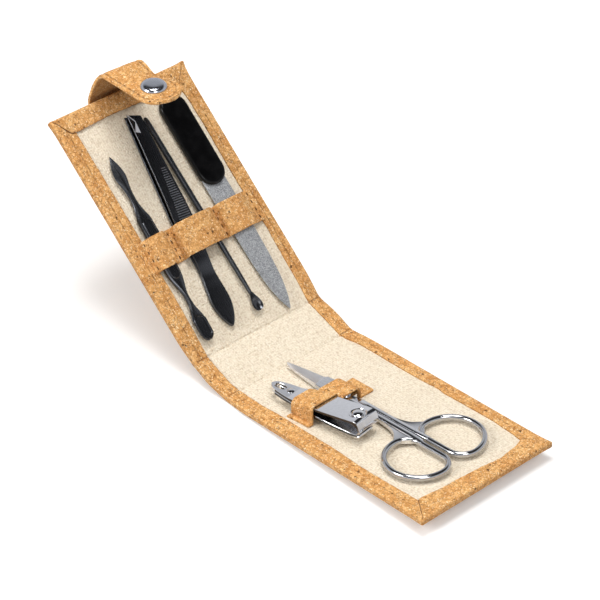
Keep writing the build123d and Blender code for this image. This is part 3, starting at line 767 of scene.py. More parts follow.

# %% [markdown]
# ## The rings of a cover
#
# Between the outer edge and the hem's inner edge lie the hem's rings, each a share of the
# way across; below the outer edge follow the rings round the rim. Small random lumps, the
# pressed seam and the crushed fold are added to their heights. The seam gets dark stitch
# dashes and the cut inner edge is dark; the hem is also darker along each fold, on the
# lower half of the rim and underneath.

# %% A whole cover
def cover(name, length, end_at, carry, along, tips):
    """One bent cover piece. tips are how far each end corner is drawn out."""
    rows = len(rows_to(length - CORNER))
    outer, inner = outline(length, along, tips, 0.75), window(length, along, end_at)
    pairs = rows + CORNER_STEPS
    count = len(outer)
    rings, worn = [], []
    for share, n in PROFILE:
        ring = []
        for i, ((x0, t0), (x1, t1)) in enumerate(zip(outer, inner)):
            x, t = x0 + (x1 - x0) * share, t0 + (t1 - t0) * share
            place = along(t)
            if share > 0.9:
                wave = rough_edge(x, place)
                x += wave
                t += wave if t1 >= end_at[0][1] else 0.0
            turn_in = min(max((i - rows) / (CORNER_STEPS + 1), 0.0), 1.0)
            turn_out = min(max((count - rows - 1 - i) / (CORNER_STEPS + 1), 0.0), 1.0)
            over = min(turn_in, turn_out)
            mitre = math.exp(-((over - 0.45) / 0.25) ** 2) * 0.4 if 0 < over < 1 else 0.0
            lump = 0.10 * waver(x * 0.35, place * 0.35, n)
            lump += 0.05 * waver(x * 1.1, place * 1.1, n)
            dash = waver(place * 0.45, x * 0.45, 9.0) * 1.4 + 0.5
            dash *= 0.5 + 0.5 * (math.sin((place + x) * 2.1) > -0.3)
            dash = max(dash, 0.0)
            seam = math.exp(-((share - 0.5) / 0.03) ** 2)
            crush = math.exp(-(t / 0.35) ** 2)
            # dark stitch dashes on the seam and a dark cut inner edge; the hem is also darker along
            # each fold
            worn.append(max(seam * dash * 0.8, crush * 0.6, (share == 1.0) * 0.25))
            ring.append((x, t, n + lump - 0.24 * seam - 0.35 * crush - mitre
                         + LIFT * over * (n > -0.9)))
        rings.append(ring)
    for inset, n in EDGE:
        rings.append([(x, t, n + 0.06 * waver(x * 0.5, along(t) * 0.5, n))
                      for x, t in outline(length, along, tips, inset)])
        # darker on the lower half of the rim and underneath
        worn += [0.18 if n < -0.5 else 0.0] * count
    faces = grid_faces(len(rings), count)
    base = (len(rings) - 1) * count
    for i in range(pairs - 1):
        faces.append((base + i, base + i + 1, base + count - 2 - i, base + count - 1 - i))
    faces.append(tuple(range(base + pairs - 1, base + count - pairs + 1)))
    return cloth_piece(name, strung(rings), faces, carry, along, cork_bent, worn=worn)


print("cover ready")

# %% [markdown]
# ## The strips turned in at the ends
#
# At each end the cork is folded in last, over the side hems, and its ends are cut
# slanting. It is swept across the case as one closed section, which gives the strip its
# thickness and lets the cut ends show dark, as cut cork does.

# %% End strips
SHARE = 2.4                 # half the length across a crease; its two ends are handed to bent(), which does not use them


def crease_ends(carry):
    return carry(0, -SHARE, 0) * 0.001, carry(0, SHARE, 0) * 0.001


def end_hem(name, length, end_at, carry, along, tips, body):
    """The end's turned-in strip, lying over the side hems with its ends cut slanting."""
    rings, columns = [], 64
    (x0, t0), (x1, t1) = end_at[0], end_at[-1]
    low, high = x0 - tips[0], x1 + tips[1]
    edge = length - 0.3
    for i in range(columns + 1):
        x = -HALF + 0.55 + (2 * HALF - 1.1) * i / columns
        inner = read(end_at, min(max(x, x0), x1)) + rough_edge(x, along(length), 0.22)
        for reach, side in ((low, -1), (high, 1)):
            if side * (x - reach) > 0:
                share = min(side * (x - reach) / (HALF - 0.9 - side * reach), 1.0)
                inner += (edge - 0.4 - inner) * share
        inner = min(inner, edge - 0.35)
        bottom, top = -0.05, []
        for k in range(9):
            t = inner + 0.06 + (edge - 0.5 - inner - 0.06) * k / 8
            lump = 0.12 * waver(x * 0.3, t * 0.5, 6.0)
            lump += 0.05 * waver(x * 1.3, t * 1.3, 2.0)
            sag = 0.1 * math.exp(-((k - 4.5) / 0.6) ** 2)
            top.append((x, t, 0.42 + lump - sag))
        ring = [(x, inner, bottom), (x, inner - 0.05, 0.2)] + top
        ring += [(x, edge - 0.1, 0.26), (x, edge + 0.22, 0.0), (x, edge + 0.38, -0.4),
                 (x, edge + 0.36, -0.9), (x, edge - 0.1, -0.9), (x, edge - 0.4, bottom)]
        rings.append(ring)
    count, marks = len(rings[0]), []
    for ring in rings:
        slant = not x0 - 0.5 < ring[0][0] < x1 + 0.5
        marks += [1.0 if j < (3 if slant else 2) else 0.0 for j in range(count)]
    made = cloth_piece(name, strung(rings), tube_faces(len(rings), count), carry, along,
                       cork_bent, 55.0, marks)
    return finished(made, body, "cork_cloth")


print("end strips ready")

# %% [markdown]
# ## Putting the cover on
#
# Each cover piece spans one crease, from the middle of the spine to its own section, and
# hides the solids it stands in for. The strips lie beyond the creases and ride on one
# section only.

# %% Covers on the case
FRONT_CREASE = "spine_section", "front_section", *crease_ends(to_front)
BACK_CREASE = "spine_section", "back_section", *crease_ends(to_back)
cover_front = bent(cover("cork_cover_front", FRONT, FRONT_END, to_front, front_run, (0.2, 0.9)),
                   *FRONT_CREASE, "cork_cloth", "front_cork_cover", "spine_cork_cover")
cover_back = bent(cover("cork_cover_back", BACK, BACK_END, to_back, back_run, (0.7, 1.3)),
                  *BACK_CREASE, "cork_cloth", "back_cork_cover")
end_hem("front_end_hem", FRONT, FRONT_END, to_front, front_run, (0.3, 0.9), "front_section")
back_hem = end_hem("back_end_hem", BACK, BACK_END, to_back, back_run, (2.4, 0.8),
                   "back_section")
# painted shade: the back section's cover and end strip are darkened evenly, as they lie in less
# light than the front
paint_shade(cover_back, 0.11)
paint_shade(back_hem, 0.13)
print("cover faces", len(cover_front.data.polygons), len(cover_back.data.polygons))

# %% [markdown]
# ## The lining
#
# The lining is glued to the card and caught under the hem. A fine grid with a little
# unevenness gives it the soft look of cloth over card, and it bends with the same two
# creases as the cover.

# %% The two lining pieces
def lining(name, length, hem, carry, along):
    rows = [t for t in rows_to(length) if t < length - hem] + [length - hem + 3.0]
    columns = 53
    half = 31.5
    flats = []
    for t in rows:
        for c in range(columns):
            x = -half + 2 * half * c / (columns - 1)
            lump = 0.07 * waver(x * 0.12, along(t) * 0.12, 1.0)
            puff = 0.10 * math.exp(-((abs(t) - 1.5) / 0.8) ** 2)
            fold = 0.32 * math.exp(-(t / 0.4) ** 2) - puff
            flats.append((x, t, LINING + 0.03 + lump - fold))
    return cloth_piece(name, flats, grid_faces(len(rows), columns), carry, along, lining_weave)


lining_front = bent(lining("lining_front", FRONT, 9.4, to_front, front_run), *FRONT_CREASE,
                    "woven_lining", "front_lining", "spine_lining")
lining_back = bent(lining("lining_back", BACK, 8.1, to_back, back_run), *BACK_CREASE,
                   "woven_lining", "back_lining")
print("lining faces", len(lining_front.data.polygons) + len(lining_back.data.polygons))

# %% [markdown]
# ## Straps
#
# Each strap is a cork band stitched down between the tools, so from its end it is a row of
# low arches. The band's path is drawn for its two edges, its corners are rounded, and the
# two are lofted with a soft edge.

# %% Straps
STRAP = 0.9


def rounded(path, radius=1.3, steps=5):
    """Path with its corners replaced by short curves, always the same count."""
    out = [Vector(path[0])]
    for a, b, c in zip(path, path[1:], path[2:]):
        a, b, c = Vector(a), Vector(b), Vector(c)
        r = min(radius, (a - b).length * 0.45, (c - b).length * 0.45)
        p, q = b + (a - b).normalized() * r, b + (c - b).normalized() * r
        for i in range(steps + 1):
            u = i / steps
            out.append(p * (1 - u) ** 2 + b * 2 * u * (1 - u) + q * u * u)
    out.append(Vector(path[-1]))
    return out


def strap(name, profile_at, s0, s1, place, nodes, body, radius):
    """Band along x whose path at s is profile_at(share), lying across the section."""
    cuts = [0.0, 0.012, 0.03, 0.15, 0.3, 0.45, 0.6, 0.75, 0.88, 0.97, 0.988, 1.0]
    rings = []
    for share in cuts:
        path = rounded(profile_at(share), radius)
        edge = 0.16 if share in (0.0, 1.0) else 0.05 if share in (0.012, 0.988) else 0.0
        inner, outer = [], []
        for i, p in enumerate(path):
            before, after = path[max(i - 1, 0)], path[min(i + 1, len(path) - 1)]
            normal = Vector((-(after - before).y, (after - before).x)).normalized()
            lump = 0.05 * waver(p.x * 0.5, share * 8, 2.0)
            s = s0 + (s1 - s0) * share + 0.12 * waver(p.x * 0.4, share, 5.0)
            low, high = p + normal * edge, p + normal * (STRAP - edge + lump)
            inner.append((low.x, s, low.y + 0.02))
            outer.append((high.x, s, high.y + 0.02))
        rings.append(inner + outer[::-1])
    made = loft(name, rings, place, cork_solid, sharp=60.0, band=True)
    return finished(made, body, "cork_cloth", *nodes)


def between(rear, front):
    return lambda share: [(a[0] + (b[0] - a[0]) * share, a[1] + (b[1] - a[1]) * share)
                          for a, b in zip(rear, front)]


print("strap helper ready")

# %% [markdown]
# ## The paths of the two straps
#
# A strap lies flat where it is sewn down and rises over each tool. Its path is one row of
# points along the case's width, once for each of its edges, because slanting tools cross
# the two edges at different places.

# %% Two straps
FRONT_PATHS = (
    [(-26.0, 0.1), (-22.9, 0), (-22.8, 5.6), (-21.6, 6.9), (-13.6, 6.9), (-12.8, 5.9),
     (-12.5, 3.0), (-10.4, 2.2), (-9.3, 3.0), (-8.7, 4.0), (-7.3, 4.4), (0.6, 4.4),
     (2.2, 4.1), (2.9, 0), (9.9, 0.5)],
    [(-24.9, 0.1), (-22.3, 0), (-22.1, 7.8), (-21.7, 8.45), (-9.95, 8.45), (-9.6, 8.05),
     (-9.3, 3.6), (-8.07, 2.9), (-6.9, 3.4), (-6.5, 4.6), (-5.37, 5.2), (1.33, 5.2),
     (2.63, 4.4), (3.1, 0), (10.4, 0.3)])
BACK_PATHS = (
    [(-28.6, 0.78), (-26.4, 0.72), (-25.95, 3.3), (-24.85, 4.0), (-19.65, 4.0), (-18.55, 3.3),
     (-18.25, 0), (-12.89, 0), (-12.39, 4.7), (-11.49, 5.4), (-2.69, 5.4), (6.6, 4.4),
     (9.8, 0), (11.2, 0), (12.2, 2.4), (13.2, 2.7), (23.0, 2.7), (24.0, 2.4), (26.8, 0.8),
     (30.6, 0.78)],
    [(-28.6, 0.78), (-26.0, 0.72), (-25.45, 3.3), (-24.35, 4.0), (-19.15, 4.0), (-18.05, 3.3),
     (-17.75, 0), (-11.57, 0), (-11.07, 4.7), (-10.17, 5.4), (-1.37, 5.4), (6.6, 4.4),
     (9.8, 0), (11.2, 0), (12.2, 2.4), (13.2, 2.7), (23.0, 2.7), (24.0, 2.4), (26.8, 0.8),
     (30.6, 0.78)])

front_bed = front_frame @ turn(180, "Z") @ shift(0, 0, LINING)
back_bed = back_frame @ shift(0, 0, LINING)
front_strap = strap("front_strap", between(*FRONT_PATHS), -26.6, -38.3, front_bed,
                    ["front_tool_strap"], "front_section", 0.7)
back_strap = strap("back_strap", between(*BACK_PATHS), 39.3, 53.8, back_bed,
                   ["back_tool_strap"], "back_section", 1.2)
# painted shade on the back strap, as on the back cover
paint_shade(back_strap, 0.13)
print("straps made")

# %% [markdown]
# ## Stitches in the back strap
#
# Thick thread sewn through cork shows as short dark dashes that sink at both ends. Each
# is a small flattened bead, which keeps its shape better than a bump in the shading.

# %% Stitches
def stitches(name, spots, place, body):
    """Short dark thread stitches, each a flattened bead at (x, s, n), 2.1 mm long along s."""
    points, faces = [], []
    for x, s, n in spots:
        faces += tube_faces(7, 8, len(points))
        for k in range(7):
            y = -1.05 + 2.1 * k / 6
            r = 0.3 * math.sqrt(max(1 - (y / 1.12) ** 2, 0.02))
            points += [(x + r * math.cos(a), s + y,
                        n + 0.7 * r * math.sin(a) - 0.25 * (y / 1.05) ** 2) for a in turns(8)]
    made = piece(name, points, faces, place, thread, 40.0)
    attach(made, body)
    return made


stitches("back_strap_stitches", [(x + lean_in * (s - 39.3) / 14.5, s, STRAP + n)
                                 for x, n, lean_in in ((-15.2, 0.1, 0.7), (10.5, 0.05, 0.0),
                                                       (-27.3, 0.8, 0.0), (28.6, 0.85, 0.0))
                                 for s in (41.2, 44.8, 48.4, 52.0)], back_bed, "back_section")
print("straps and stitches", len(front_strap.data.polygons), len(back_strap.data.polygons))

# %% [markdown]
# ## The closing tab
#
# The tab is two layers of cork cloth sewn together, with a round tongue. It is sewn flat
# to the outside of the back, comes round the edge, stands up and folds over a soft crest.
# It turns about two lines, so it is made in two pieces that meet between them. Its middle
# line is drawn once in the back's own plane; each piece takes part of it.

# %% The tab's middle line
TAB_X, TAB_HALF, TAB_THICK = -3.0, 10.0, 1.6
TAB_CREST = (119.2, 16.4416)
FLAP_LEAN, FLAP_START = 40.0, 2.2            # degrees from level; where the flap is straight
CURL_START, CURL, CURL_RADIUS = 26.0, 6.2, 30.0      # the tongue's end curls up a little
SNAP_OUT = 20.1             # crest to snap
PATCH_ROUND = 9.0           # rounded corners of the sewn foot


def even(points, gap):
    """Points of a path spaced evenly, about gap apart."""
    points = [Vector(p) for p in points]
    marks = [0.0]
    for a, b in zip(points, points[1:]):
        marks.append(marks[-1] + (b - a).length)
    count = max(int(marks[-1] / gap), 2)
    out, k = [], 0
    for i in range(count + 1):
        want = marks[-1] * i / count
        while k < len(marks) - 2 and marks[k + 1] < want:
            k += 1
        u = (want - marks[k]) / max(marks[k + 1] - marks[k], 1e-9)
        out.append(points[k].lerp(points[k + 1], u))
    return out


lean = math.radians(FLAP_LEAN)
flap_way = Vector((-math.cos(lean), math.sin(lean)))
flap_up = Vector((math.sin(lean), math.cos(lean)))
crest = Vector(TAB_CREST)
curl = []
for i in range(9):
    angle = (CURL / CURL_RADIUS) * i / 8
    curl.append(crest + flap_way * (CURL_START + CURL_RADIUS * math.sin(angle))
                + flap_up * CURL_RADIUS * (1 - math.cos(angle)))
patch_line = even([(90.6, -3.6), (113.9, -3.6)], 0.8)
round_line = even(spline([(113.9, -3.6), (115.35, -3.35), (117.2, -0.6), (119.0, 5.4)], 8), 0.45)
bridge_line = even(spline([(119.0, 5.4), (119.9, 10.8), (119.8, 14.8)], 8), 0.6)
straight = [tuple(crest + flap_way * along) for along in (FLAP_START, CURL_START)]
crest_line = even(spline([(119.8, 14.8), (118.9, 16.7), straight[0]], 8), 0.3)
flap_line = even(straight, 0.7)
curl_line = even([tuple(p) for p in curl], 0.4)
print("tab's crest", TAB_CREST, "curl ends at", [round(v, 1) for v in curl[-1]])

# %% [markdown]
# ## Sweeping the strip
#
# The strip is a soft-edged section swept along the middle line. Points are closer
# together near the sewn edge, so that the groove there is crisp. A hole is left for the
# snap's tube, hidden under the cap.

# %% Section of the strip
ACROSS = [0.0, 0.3, 0.55, 0.7, 0.77, 0.81, 0.84, 0.87, 0.91, 0.96, 1.0]
ACROSS = [-u for u in ACROSS[:0:-1]] + ACROSS


def from_edge(length, x):
    """Distance in from the tab's edge, for the row of stitches that follows it."""
    left = lower_length + upper_length - length
    if left < TAB_HALF:
        return TAB_HALF - math.hypot(x, TAB_HALF - left)
    return min(TAB_HALF - abs(x), length)


def strip_section(half):
    """Section of the strip: (x, height as a share of the thickness)."""
    thin = min(1.0, half / 1.5) ** 0.5
    side = [(u * (half - 0.45), 0.5 * thin) for u in ACROSS]
    side += [(half - 0.15, 0.42 * thin), (half, 0.2 * thin), (half, -0.2 * thin),
             (half - 0.15, -0.42 * thin)]
    return side + [(-x, -h) for x, h in side]


def opened(faces, near, count):
    """Faces with a hole through the strip's middle at the rings near, and its walls."""
    middle = len(ACROSS) // 2
    under = range(middle - 1, middle + 2)
    over = range(count - 4 - middle, count - 7 - middle, -1)
    cut = {r * count + c for r in near for c in (*under, *over)}
    loop = [(near[0], 0), (near[0], 1)] + [(r, 2) for r in near[:-1]]
    loop += [(near[-1], 2), (near[-1], 1)] + [(r, 0) for r in near[:0:-1]]
    return [f for f in faces if not cut.issuperset(f)] + [
        (r * count + under[c], q * count + under[d], q * count + over[d], r * count + over[c])
        for (r, c), (q, d) in zip(loop, loop[1:] + loop[:1])]


print("points round the strip", len(strip_section(TAB_HALF)))

# %% [markdown]
# ## The strip itself
#
# Walking along the middle line, each step places one section square to the heading and
# adds the stitched groove, a small dip in the tongue and a few lumps to its heights.

# %% A swept strip
def strip(name, line, width_at, start_length, material, hole_at=None):
    """Soft-edged strip round a middle line in the back's (s, n) plane, in the row frame."""
    rings, flats, worn, near = [], [], [], []
    length = start_length
    for i, p in enumerate(line):
        before, after = line[max(i - 1, 0)], line[min(i + 1, len(line) - 1)]
        if i:
            length += (p - line[i - 1]).length
        if hole_at and abs(length - hole_at) < 2.6:
            near.append(i)
        heading = (after - before).normalized()
        normal = Vector((-heading.y, heading.x))
        half = max(width_at(length), 0.02)
        ring = []
        skew = math.exp(-((length - lower_length - 10.0) / 8.0) ** 2)
        for x, h in strip_section(half):
            edge_line = math.exp(-((from_edge(length, x) - 1.9) / 0.36) ** 2)
            dash = 0.6 + 0.4 * math.sin((length + x) * 2.2)
            dip = (2.1 * math.exp(-((length - lower_length - 23.0) / 7.0) ** 2)
                   * max(x / TAB_HALF, 0) ** 2)
            lump = 0.12 * waver(x * 0.16, length * 0.16, 4.0)
            h_mm = h * TAB_THICK - math.copysign(edge_line * 0.3, h) + lump
            place = p + normal * (h_mm + dip)
            ring.append((x * (1 - 0.05 * dip) + TAB_X, place.x - 0.05 * skew * x,
                         place.y + 0.045 * skew * x))
            flats.append((x + TAB_X + 60.0, length, h_mm))
            # painted shade: the strip's whole inner face, under the fold and the tongue, is
            # darkened; on the outer face only the stitch dashes are dark
            worn.append(0.62 if h > 0.3 else 1.15 * edge_line * dash)
        rings.append(ring)
    count = len(rings[0])
    faces = tube_faces(len(rings), count)
    if near:
        faces = opened(faces, near, count)
    points = [tuple(back_frame @ Vector(p) * 0.001) for p in strung(rings)]
    made = mesh_object(name, points, faces)
    flat_place(made, flats)
    store_darkness(made, worn)
    tidy(made, material, 60.0)
    return made


print("strip ready")

# %% [markdown]
# ## The two parts of the tab
#
# The foot and the bend round the edge turn about one line, the crest and the tongue about
# another. Each part is swept from its share of the line and hides the solids it stands in for.

# %% Tab on the case
def joined(*lines):
    out = list(lines[0])
    for line in lines[1:]:
        out += line[1:]
    return out


def path_length(line):
    return sum((b - a).length for a, b in zip(line, line[1:]))


lower_line = joined(patch_line, round_line)
upper_line = joined(bridge_line, crest_line, flap_line, curl_line)
lower_length, upper_length = path_length(lower_line), path_length(upper_line)


def patch_width(length):
    inward = min(length, PATCH_ROUND)
    return TAB_HALF - PATCH_ROUND + math.sqrt(
        max(PATCH_ROUND ** 2 - (PATCH_ROUND - inward) ** 2, 0.0))


def tongue_width(length):
    left = lower_length + upper_length - length
    inward = min(left, TAB_HALF)
    return math.sqrt(max(TAB_HALF ** 2 - (TAB_HALF - inward) ** 2, 0.0))


def finer_end(line, gap):
    """Adds points closer together at the round end of a line."""
    tail = even(line[-3:], gap)
    return line[:-2] + tail[1:]


tab_lower = strip("tab_lower", finer_end(lower_line[::-1], 0.2)[::-1], patch_width, 0.0, cork_bent)
snap_at = lower_length + path_length(joined(bridge_line, crest_line)) + SNAP_OUT - FLAP_START
tab_upper = strip("tab_upper", finer_end(upper_line, 0.12), tongue_width, lower_length, cork_bent,
                  snap_at)


def row(x, s, n):
    return back_frame @ Vector((x, s, n)) * 0.001


bent(tab_lower, "back_section", "tab_bridge", row(0, 114.6, -3.4), row(0, 116.9, 0.4),
     "cork_cloth", "tab_patch", "tab_bridge")
bent(tab_upper, "tab_bridge", "tab_flap", row(0, 119.2, 14.0),
     tuple(row(0, *(crest + flap_way * 2.8))), "cork_cloth", "tab_flap")
print("tab", round(lower_length, 1), round(upper_length, 1))

# %% [markdown]
# ## Stamped plates
#
# Stamped pieces start as a flat outline with holes. A Blender curve with several closed
# splines fills such an outline in one go, gives it thickness and a small bevel, and is then
# turned into a mesh. Cutting that mesh across at many places lets a function bend it or
# change its thickness along its length.

# %% Stamped plates
def stamped(name, outlines, place, material, bevel=0.15, thick=1.0, cuts=(), slices=(),
            shape=None, sharp=24.0, rounds=0):
    """Plate from z = 0 to z = thick with the first outline and the others as holes."""
    curve = bpy.data.curves.new(name, "CURVE")
    curve.dimensions, curve.fill_mode = "2D", "BOTH"
    curve.extrude = thick / 2 - bevel
    curve.bevel_depth, curve.bevel_resolution, curve.offset = bevel, rounds, -bevel
    for outline in outlines:
        line = curve.splines.new("POLY")
        line.points.add(len(outline) - 1)
        for point, (x, y) in zip(line.points, outline):
            point.co = (x, y, 0.0, 1.0)
        line.use_cyclic_u = True
    carrier = new_object(name, curve)
    mesh = bpy.data.meshes.new_from_object(carrier)
    bpy.data.objects.remove(carrier)
    bpy.data.curves.remove(curve)
    work = bmesh.new()
    work.from_mesh(mesh)
    bmesh.ops.remove_doubles(work, verts=work.verts, dist=1e-4)
    for axis, values in ((1, cuts), (0, slices)):
        for value in values:
            spot, way = [0.0, 0.0, 0.0], [0.0, 0.0, 0.0]
            spot[axis], way[axis] = value, 1.0
            everything = work.verts[:] + work.edges[:] + work.faces[:]
            bmesh.ops.bisect_plane(work, geom=everything, dist=1e-5, plane_co=spot, plane_no=way)
    for vert in work.verts:
        x, y, z = vert.co
        z += thick / 2
        vert.co = Vector(shape(x, y, z / thick) if shape else (x, y, z)) * 0.001
    bmesh.ops.dissolve_degenerate(work, edges=work.edges, dist=1e-7)
    work.to_mesh(mesh)
    work.free()
    made = new_object(name, mesh)
    tidy(made, material, sharp)
    made.matrix_world = place_in_metres(place)
    return made


print("stamping ready")

# %% [markdown]
# ## Turned parts
#
# Rivets, posts and snaps are round, so half their outline, spun about an axis, gives the
# whole. A profile of points is easier to correct than a stack of cylinders.

# %% Turned parts
def lathe(name, profile, place, material, segments=48, sharp=35.0):
    """Profile of (radius, z) spun round the z axis."""
    points = [(r * math.cos(a), r * math.sin(a), z) for a in turns(segments)
              for r, z in profile]
    count, faces = len(profile), []
    for k in range(segments):
        following = (k + 1) % segments
        for i in range(count - 1):
            faces.append((k * count + i, following * count + i,
                          following * count + i + 1, k * count + i + 1))
    if profile[0][0] > 1e-6 and profile[0] != profile[-1]:
        faces.append(tuple(k * count for k in range(segments)))
        faces.append(tuple(k * count + count - 1 for k in range(segments)))
    return piece(name, points, faces, place, material, sharp)


def circle(radius, x=0.0, y=0.0, count=32):
    return [(x + radius * math.cos(a), y + radius * math.sin(a)) for a in turns(count)]


def slot_outline(length, width, y, count=12):
    """Oblong hole along y."""
    r, half = width / 2, (length - width) / 2
    top = [(r * math.cos(math.pi * k / count), y + half + r * math.sin(math.pi * k / count))
           for k in range(count + 1)]
    return top + [(-x, 2 * y - b) for x, b in top]


print("turning ready")

# %% [markdown]
# ## Nail clipper
#
# Two steel leaves are riveted at the tail and spread towards the jaws, where both are
# drawn out to a bowed cutting edge. The lever lies turned over, underneath. The leaves are
# stamped plates whose thickness and height follow short tables along the length.

# %% Clipper outline and tables
clipper_place = on_front(-13.3, 60.5, 7.2)
RIVET_Y, POST_Y, BEND_Y, SHEET = 40.0, 5.3, 38.0, 1.4
UNDER = 3.35                # underside of the lower leaf
JAW_RADIUS, JAW_BACK = 30.0, -29.4           # the bowed cutting edge
LEAF_HALF = 6.0             # half a leaf's width
SEAT = UNDER + SHEET
SLOPE = math.tan(math.radians(7.6))


def upper_top(y):
    return SEAT + SHEET + max(BEND_Y - y, 0) * SLOPE


def jaw_bow(x):
    return JAW_BACK + math.sqrt(JAW_RADIUS ** 2 - x * x)


def leaf_outline():
    side = [tuple(p) for p in spline([(LEAF_HALF, 19.0), (5.55, 27.0), (4.7, 35.0), (3.8, 42.0),
                                      (2.7, 47.0), (1.3, 49.35), (0.0, 50.0)], 5)]
    front = [(x, jaw_bow(x)) for x in [LEAF_HALF * (1 - k / 12) for k in range(25)]]
    right = [(LEAF_HALF, y) for y in (1.0, 2.0, 4.0, 8.0, 13.0)] + side
    left = [(-x, y) for x, y in reversed(right[:-1])]
    return front[::-1] + right[1:] + left


def level(table, y):
    """Value at y in a table, along straight runs."""
    for (y0, v0), (y1, v1) in zip(table, table[1:]):
        if y <= y1:
            return v0 + (v1 - v0) * (y - y0) / (y1 - y0)
    return table[-1][1]


jaw_top = upper_top(2.6)
LOW_UNDER = [(-1, 5.8), (0.0, 5.75), (1.2, 4.1), (2.4, 3.6), (4.0, UNDER), (10.0, UNDER - 0.1),
             (38.0, UNDER), (60, UNDER)]
LOW_OVER = [(-1, 5.8), (0.0, 5.8), (0.8, 5.42), (1.6, 5.05), (4.4, SEAT), (10.0, SEAT - 0.1),
            (38.0, SEAT), (60, SEAT)]
HIGH_UNDER = [(-1, 7.2), (0.0, 7.2), (1.7, jaw_top - 2.4), (3.6, upper_top(3.6) - SHEET),
              (38.0, SEAT), (60, SEAT)]
HIGH_OVER = [(-1, 7.25), (0.0, 7.25), (0.35, 8.6), (0.8, jaw_top - 0.85), (1.5, jaw_top - 0.25),
             (2.6, jaw_top), (38.0, SEAT + SHEET), (60, SEAT + SHEET)]
LEAF_CUTS = [0.15, 0.35, 0.6, 0.8, 1.0, 1.2, 1.5, 1.7, 2.0, 2.4, 2.6, 3.0, 3.6, 4.0, 4.4, 6.0,
             8.0, 10.0, 13.0, 16.0, 19.0, 23.0, 27.0, 31.0, 35.0, 38.0, 41.0, 44.0, 47.0]


print("leaf outline", len(leaf_outline()), "points, jaw top", round(jaw_top, 2))

# %% [markdown]
# ## The two leaves
#
# One function makes either leaf. Its heights are read from the tables at the distance
# behind the bowed jaw, and faces get their finish by where they lie: the cutting bevel is
# ground, the sides wear black nickel as a painted dark reflection, though they are bright
# steel, and the rest is bright.

# %% Two leaves
def leaf(name, under, over, body, node, extra_holes):
    def shape(x, y, share):
        behind = y - jaw_bow(x) * max(1 - y / 6.0, 0.0)
        low, high = level(under, behind), level(over, behind)
        crown = -0.10 * (x / LEAF_HALF) ** 2 if share > 0.5 else 0.0
        return x, y, low + (high - low) * share + crown

    holes = [slot_outline(5.4, 2.8, 45.3), circle(1.25, 0, RIVET_Y)] + extra_holes
    made = stamped(name, [leaf_outline()] + holes, clipper_place, bright_steel, bevel=0.16,
                   thick=SHEET, cuts=LEAF_CUTS, slices=(-4.5, -3.0, -1.5, 0.0, 1.5, 3.0, 4.5),
                   shape=shape)
    made.data.materials.append(ground_steel)
    made.data.materials.append(black_nickel)
    for face in made.data.polygons:
        if face.center.y < 0.0012 and face.normal.y < -0.25:
            face.material_index = 1
        # painted reflection: the leaves' sides are given dark black nickel in place of their bright
        # steel
        elif abs(face.normal.z) < 0.5 and face.center.y < 0.046:
            face.material_index = 2
    return finished(made, body, "bright_steel", node)


leaf_low = leaf("clipper_leaf_low", LOW_UNDER, LOW_OVER, "nail_clipper", "clipper_lower_leaf",
                [circle(1.7, 0, POST_Y)])
leaf_high = leaf("clipper_leaf_high", HIGH_UNDER, HIGH_OVER, "clipper_jaw", "clipper_upper_leaf",
                 [circle(3.5, 0, POST_Y, 40)])
print("leaves", len(leaf_low.data.polygons), len(leaf_high.data.polygons))

# %% [markdown]
# ## The clipper's turned parts and its lever
#
# The lever's post ends in a dome that lies in a round dish in the upper leaf. Post, dish
# and rivet are turned parts, so a short profile spun round an axis gives each of them.

# %% Clipper recess, post, rivet and lever
tilt = math.degrees(math.atan(SLOPE))
post_top = upper_top(POST_Y)
recess_place = clipper_place @ shift(0, POST_Y, post_top) @ turn(-tilt)
recess = lathe("clipper_recess", [(1.3, -1.2), (1.35, -0.62), (1.5, -0.5), (3.0, -0.42),
                                  (3.35, -0.3), (3.5, -0.1), (3.62, 0.02), (3.62, -0.2),
                                  (3.5, -1.15), (1.3, -1.2)], recess_place, bright_steel, 48)
finished(recess, "clipper_jaw", "bright_steel")
post = lathe("clipper_post_pin", [(0.0, 1.5), (1.5, 1.5), (2.0, 1.62), (2.0, 2.0), (1.2, 2.15),
                                  (1.2, post_top - 0.45), (2.35, post_top - 0.45),
                                  (2.55, post_top - 0.3), (2.52, post_top - 0.02),
                                  (2.3, post_top + 0.24), (1.75, post_top + 0.45),
                                  (0.9, post_top + 0.58), (0.0, post_top + 0.62)],
             clipper_place @ shift(0, POST_Y, 0), bright_steel, 40)
finished(post, "clipper_jaw", "bright_steel", "clipper_post")
rivet = lathe("clipper_tail_rivet", [(0.0, UNDER - 0.25), (1.4, UNDER - 0.25), (1.7, UNDER - 0.1),
                                     (1.7, UNDER), (1.1, UNDER), (1.1, SEAT + SHEET + 0.15),
                                     (1.5, SEAT + SHEET + 0.12), (1.5, SEAT + SHEET + 0.22),
                                     (1.1, SEAT + SHEET + 0.36), (0.0, SEAT + SHEET + 0.4)],
              clipper_place @ shift(0, RIVET_Y, 0), bright_steel, 32)
finished(rivet, "nail_clipper", "bright_steel", "clipper_rivet")


def lever_outline():
    right = [(4.2, 1.6), (4.8, 2.1), (5.0, 3.0), (5.0, 12.0)]
    right += [tuple(p) for p in spline([(5.0, 12.0), (4.75, 19.0), (4.2, 26.0), (3.4, 35.0),
                                        (2.4, 37.8)], 5)][1:]
    return right + [(-x, y) for x, y in reversed(right)]


def lever_shape(x, y, share):
    ends = 0.28 * max(1 - (y - 1.6) / 3.0, 0.0) ** 2
    dip = -0.12 * math.exp(-((x / 2.2) ** 2 + ((y - 22) / 9.0) ** 2)) * (1 if share > 0.5 else 0)
    return x, y, 2.2 + 0.9 * share + dip - ends * 0.4 * (1 - share)


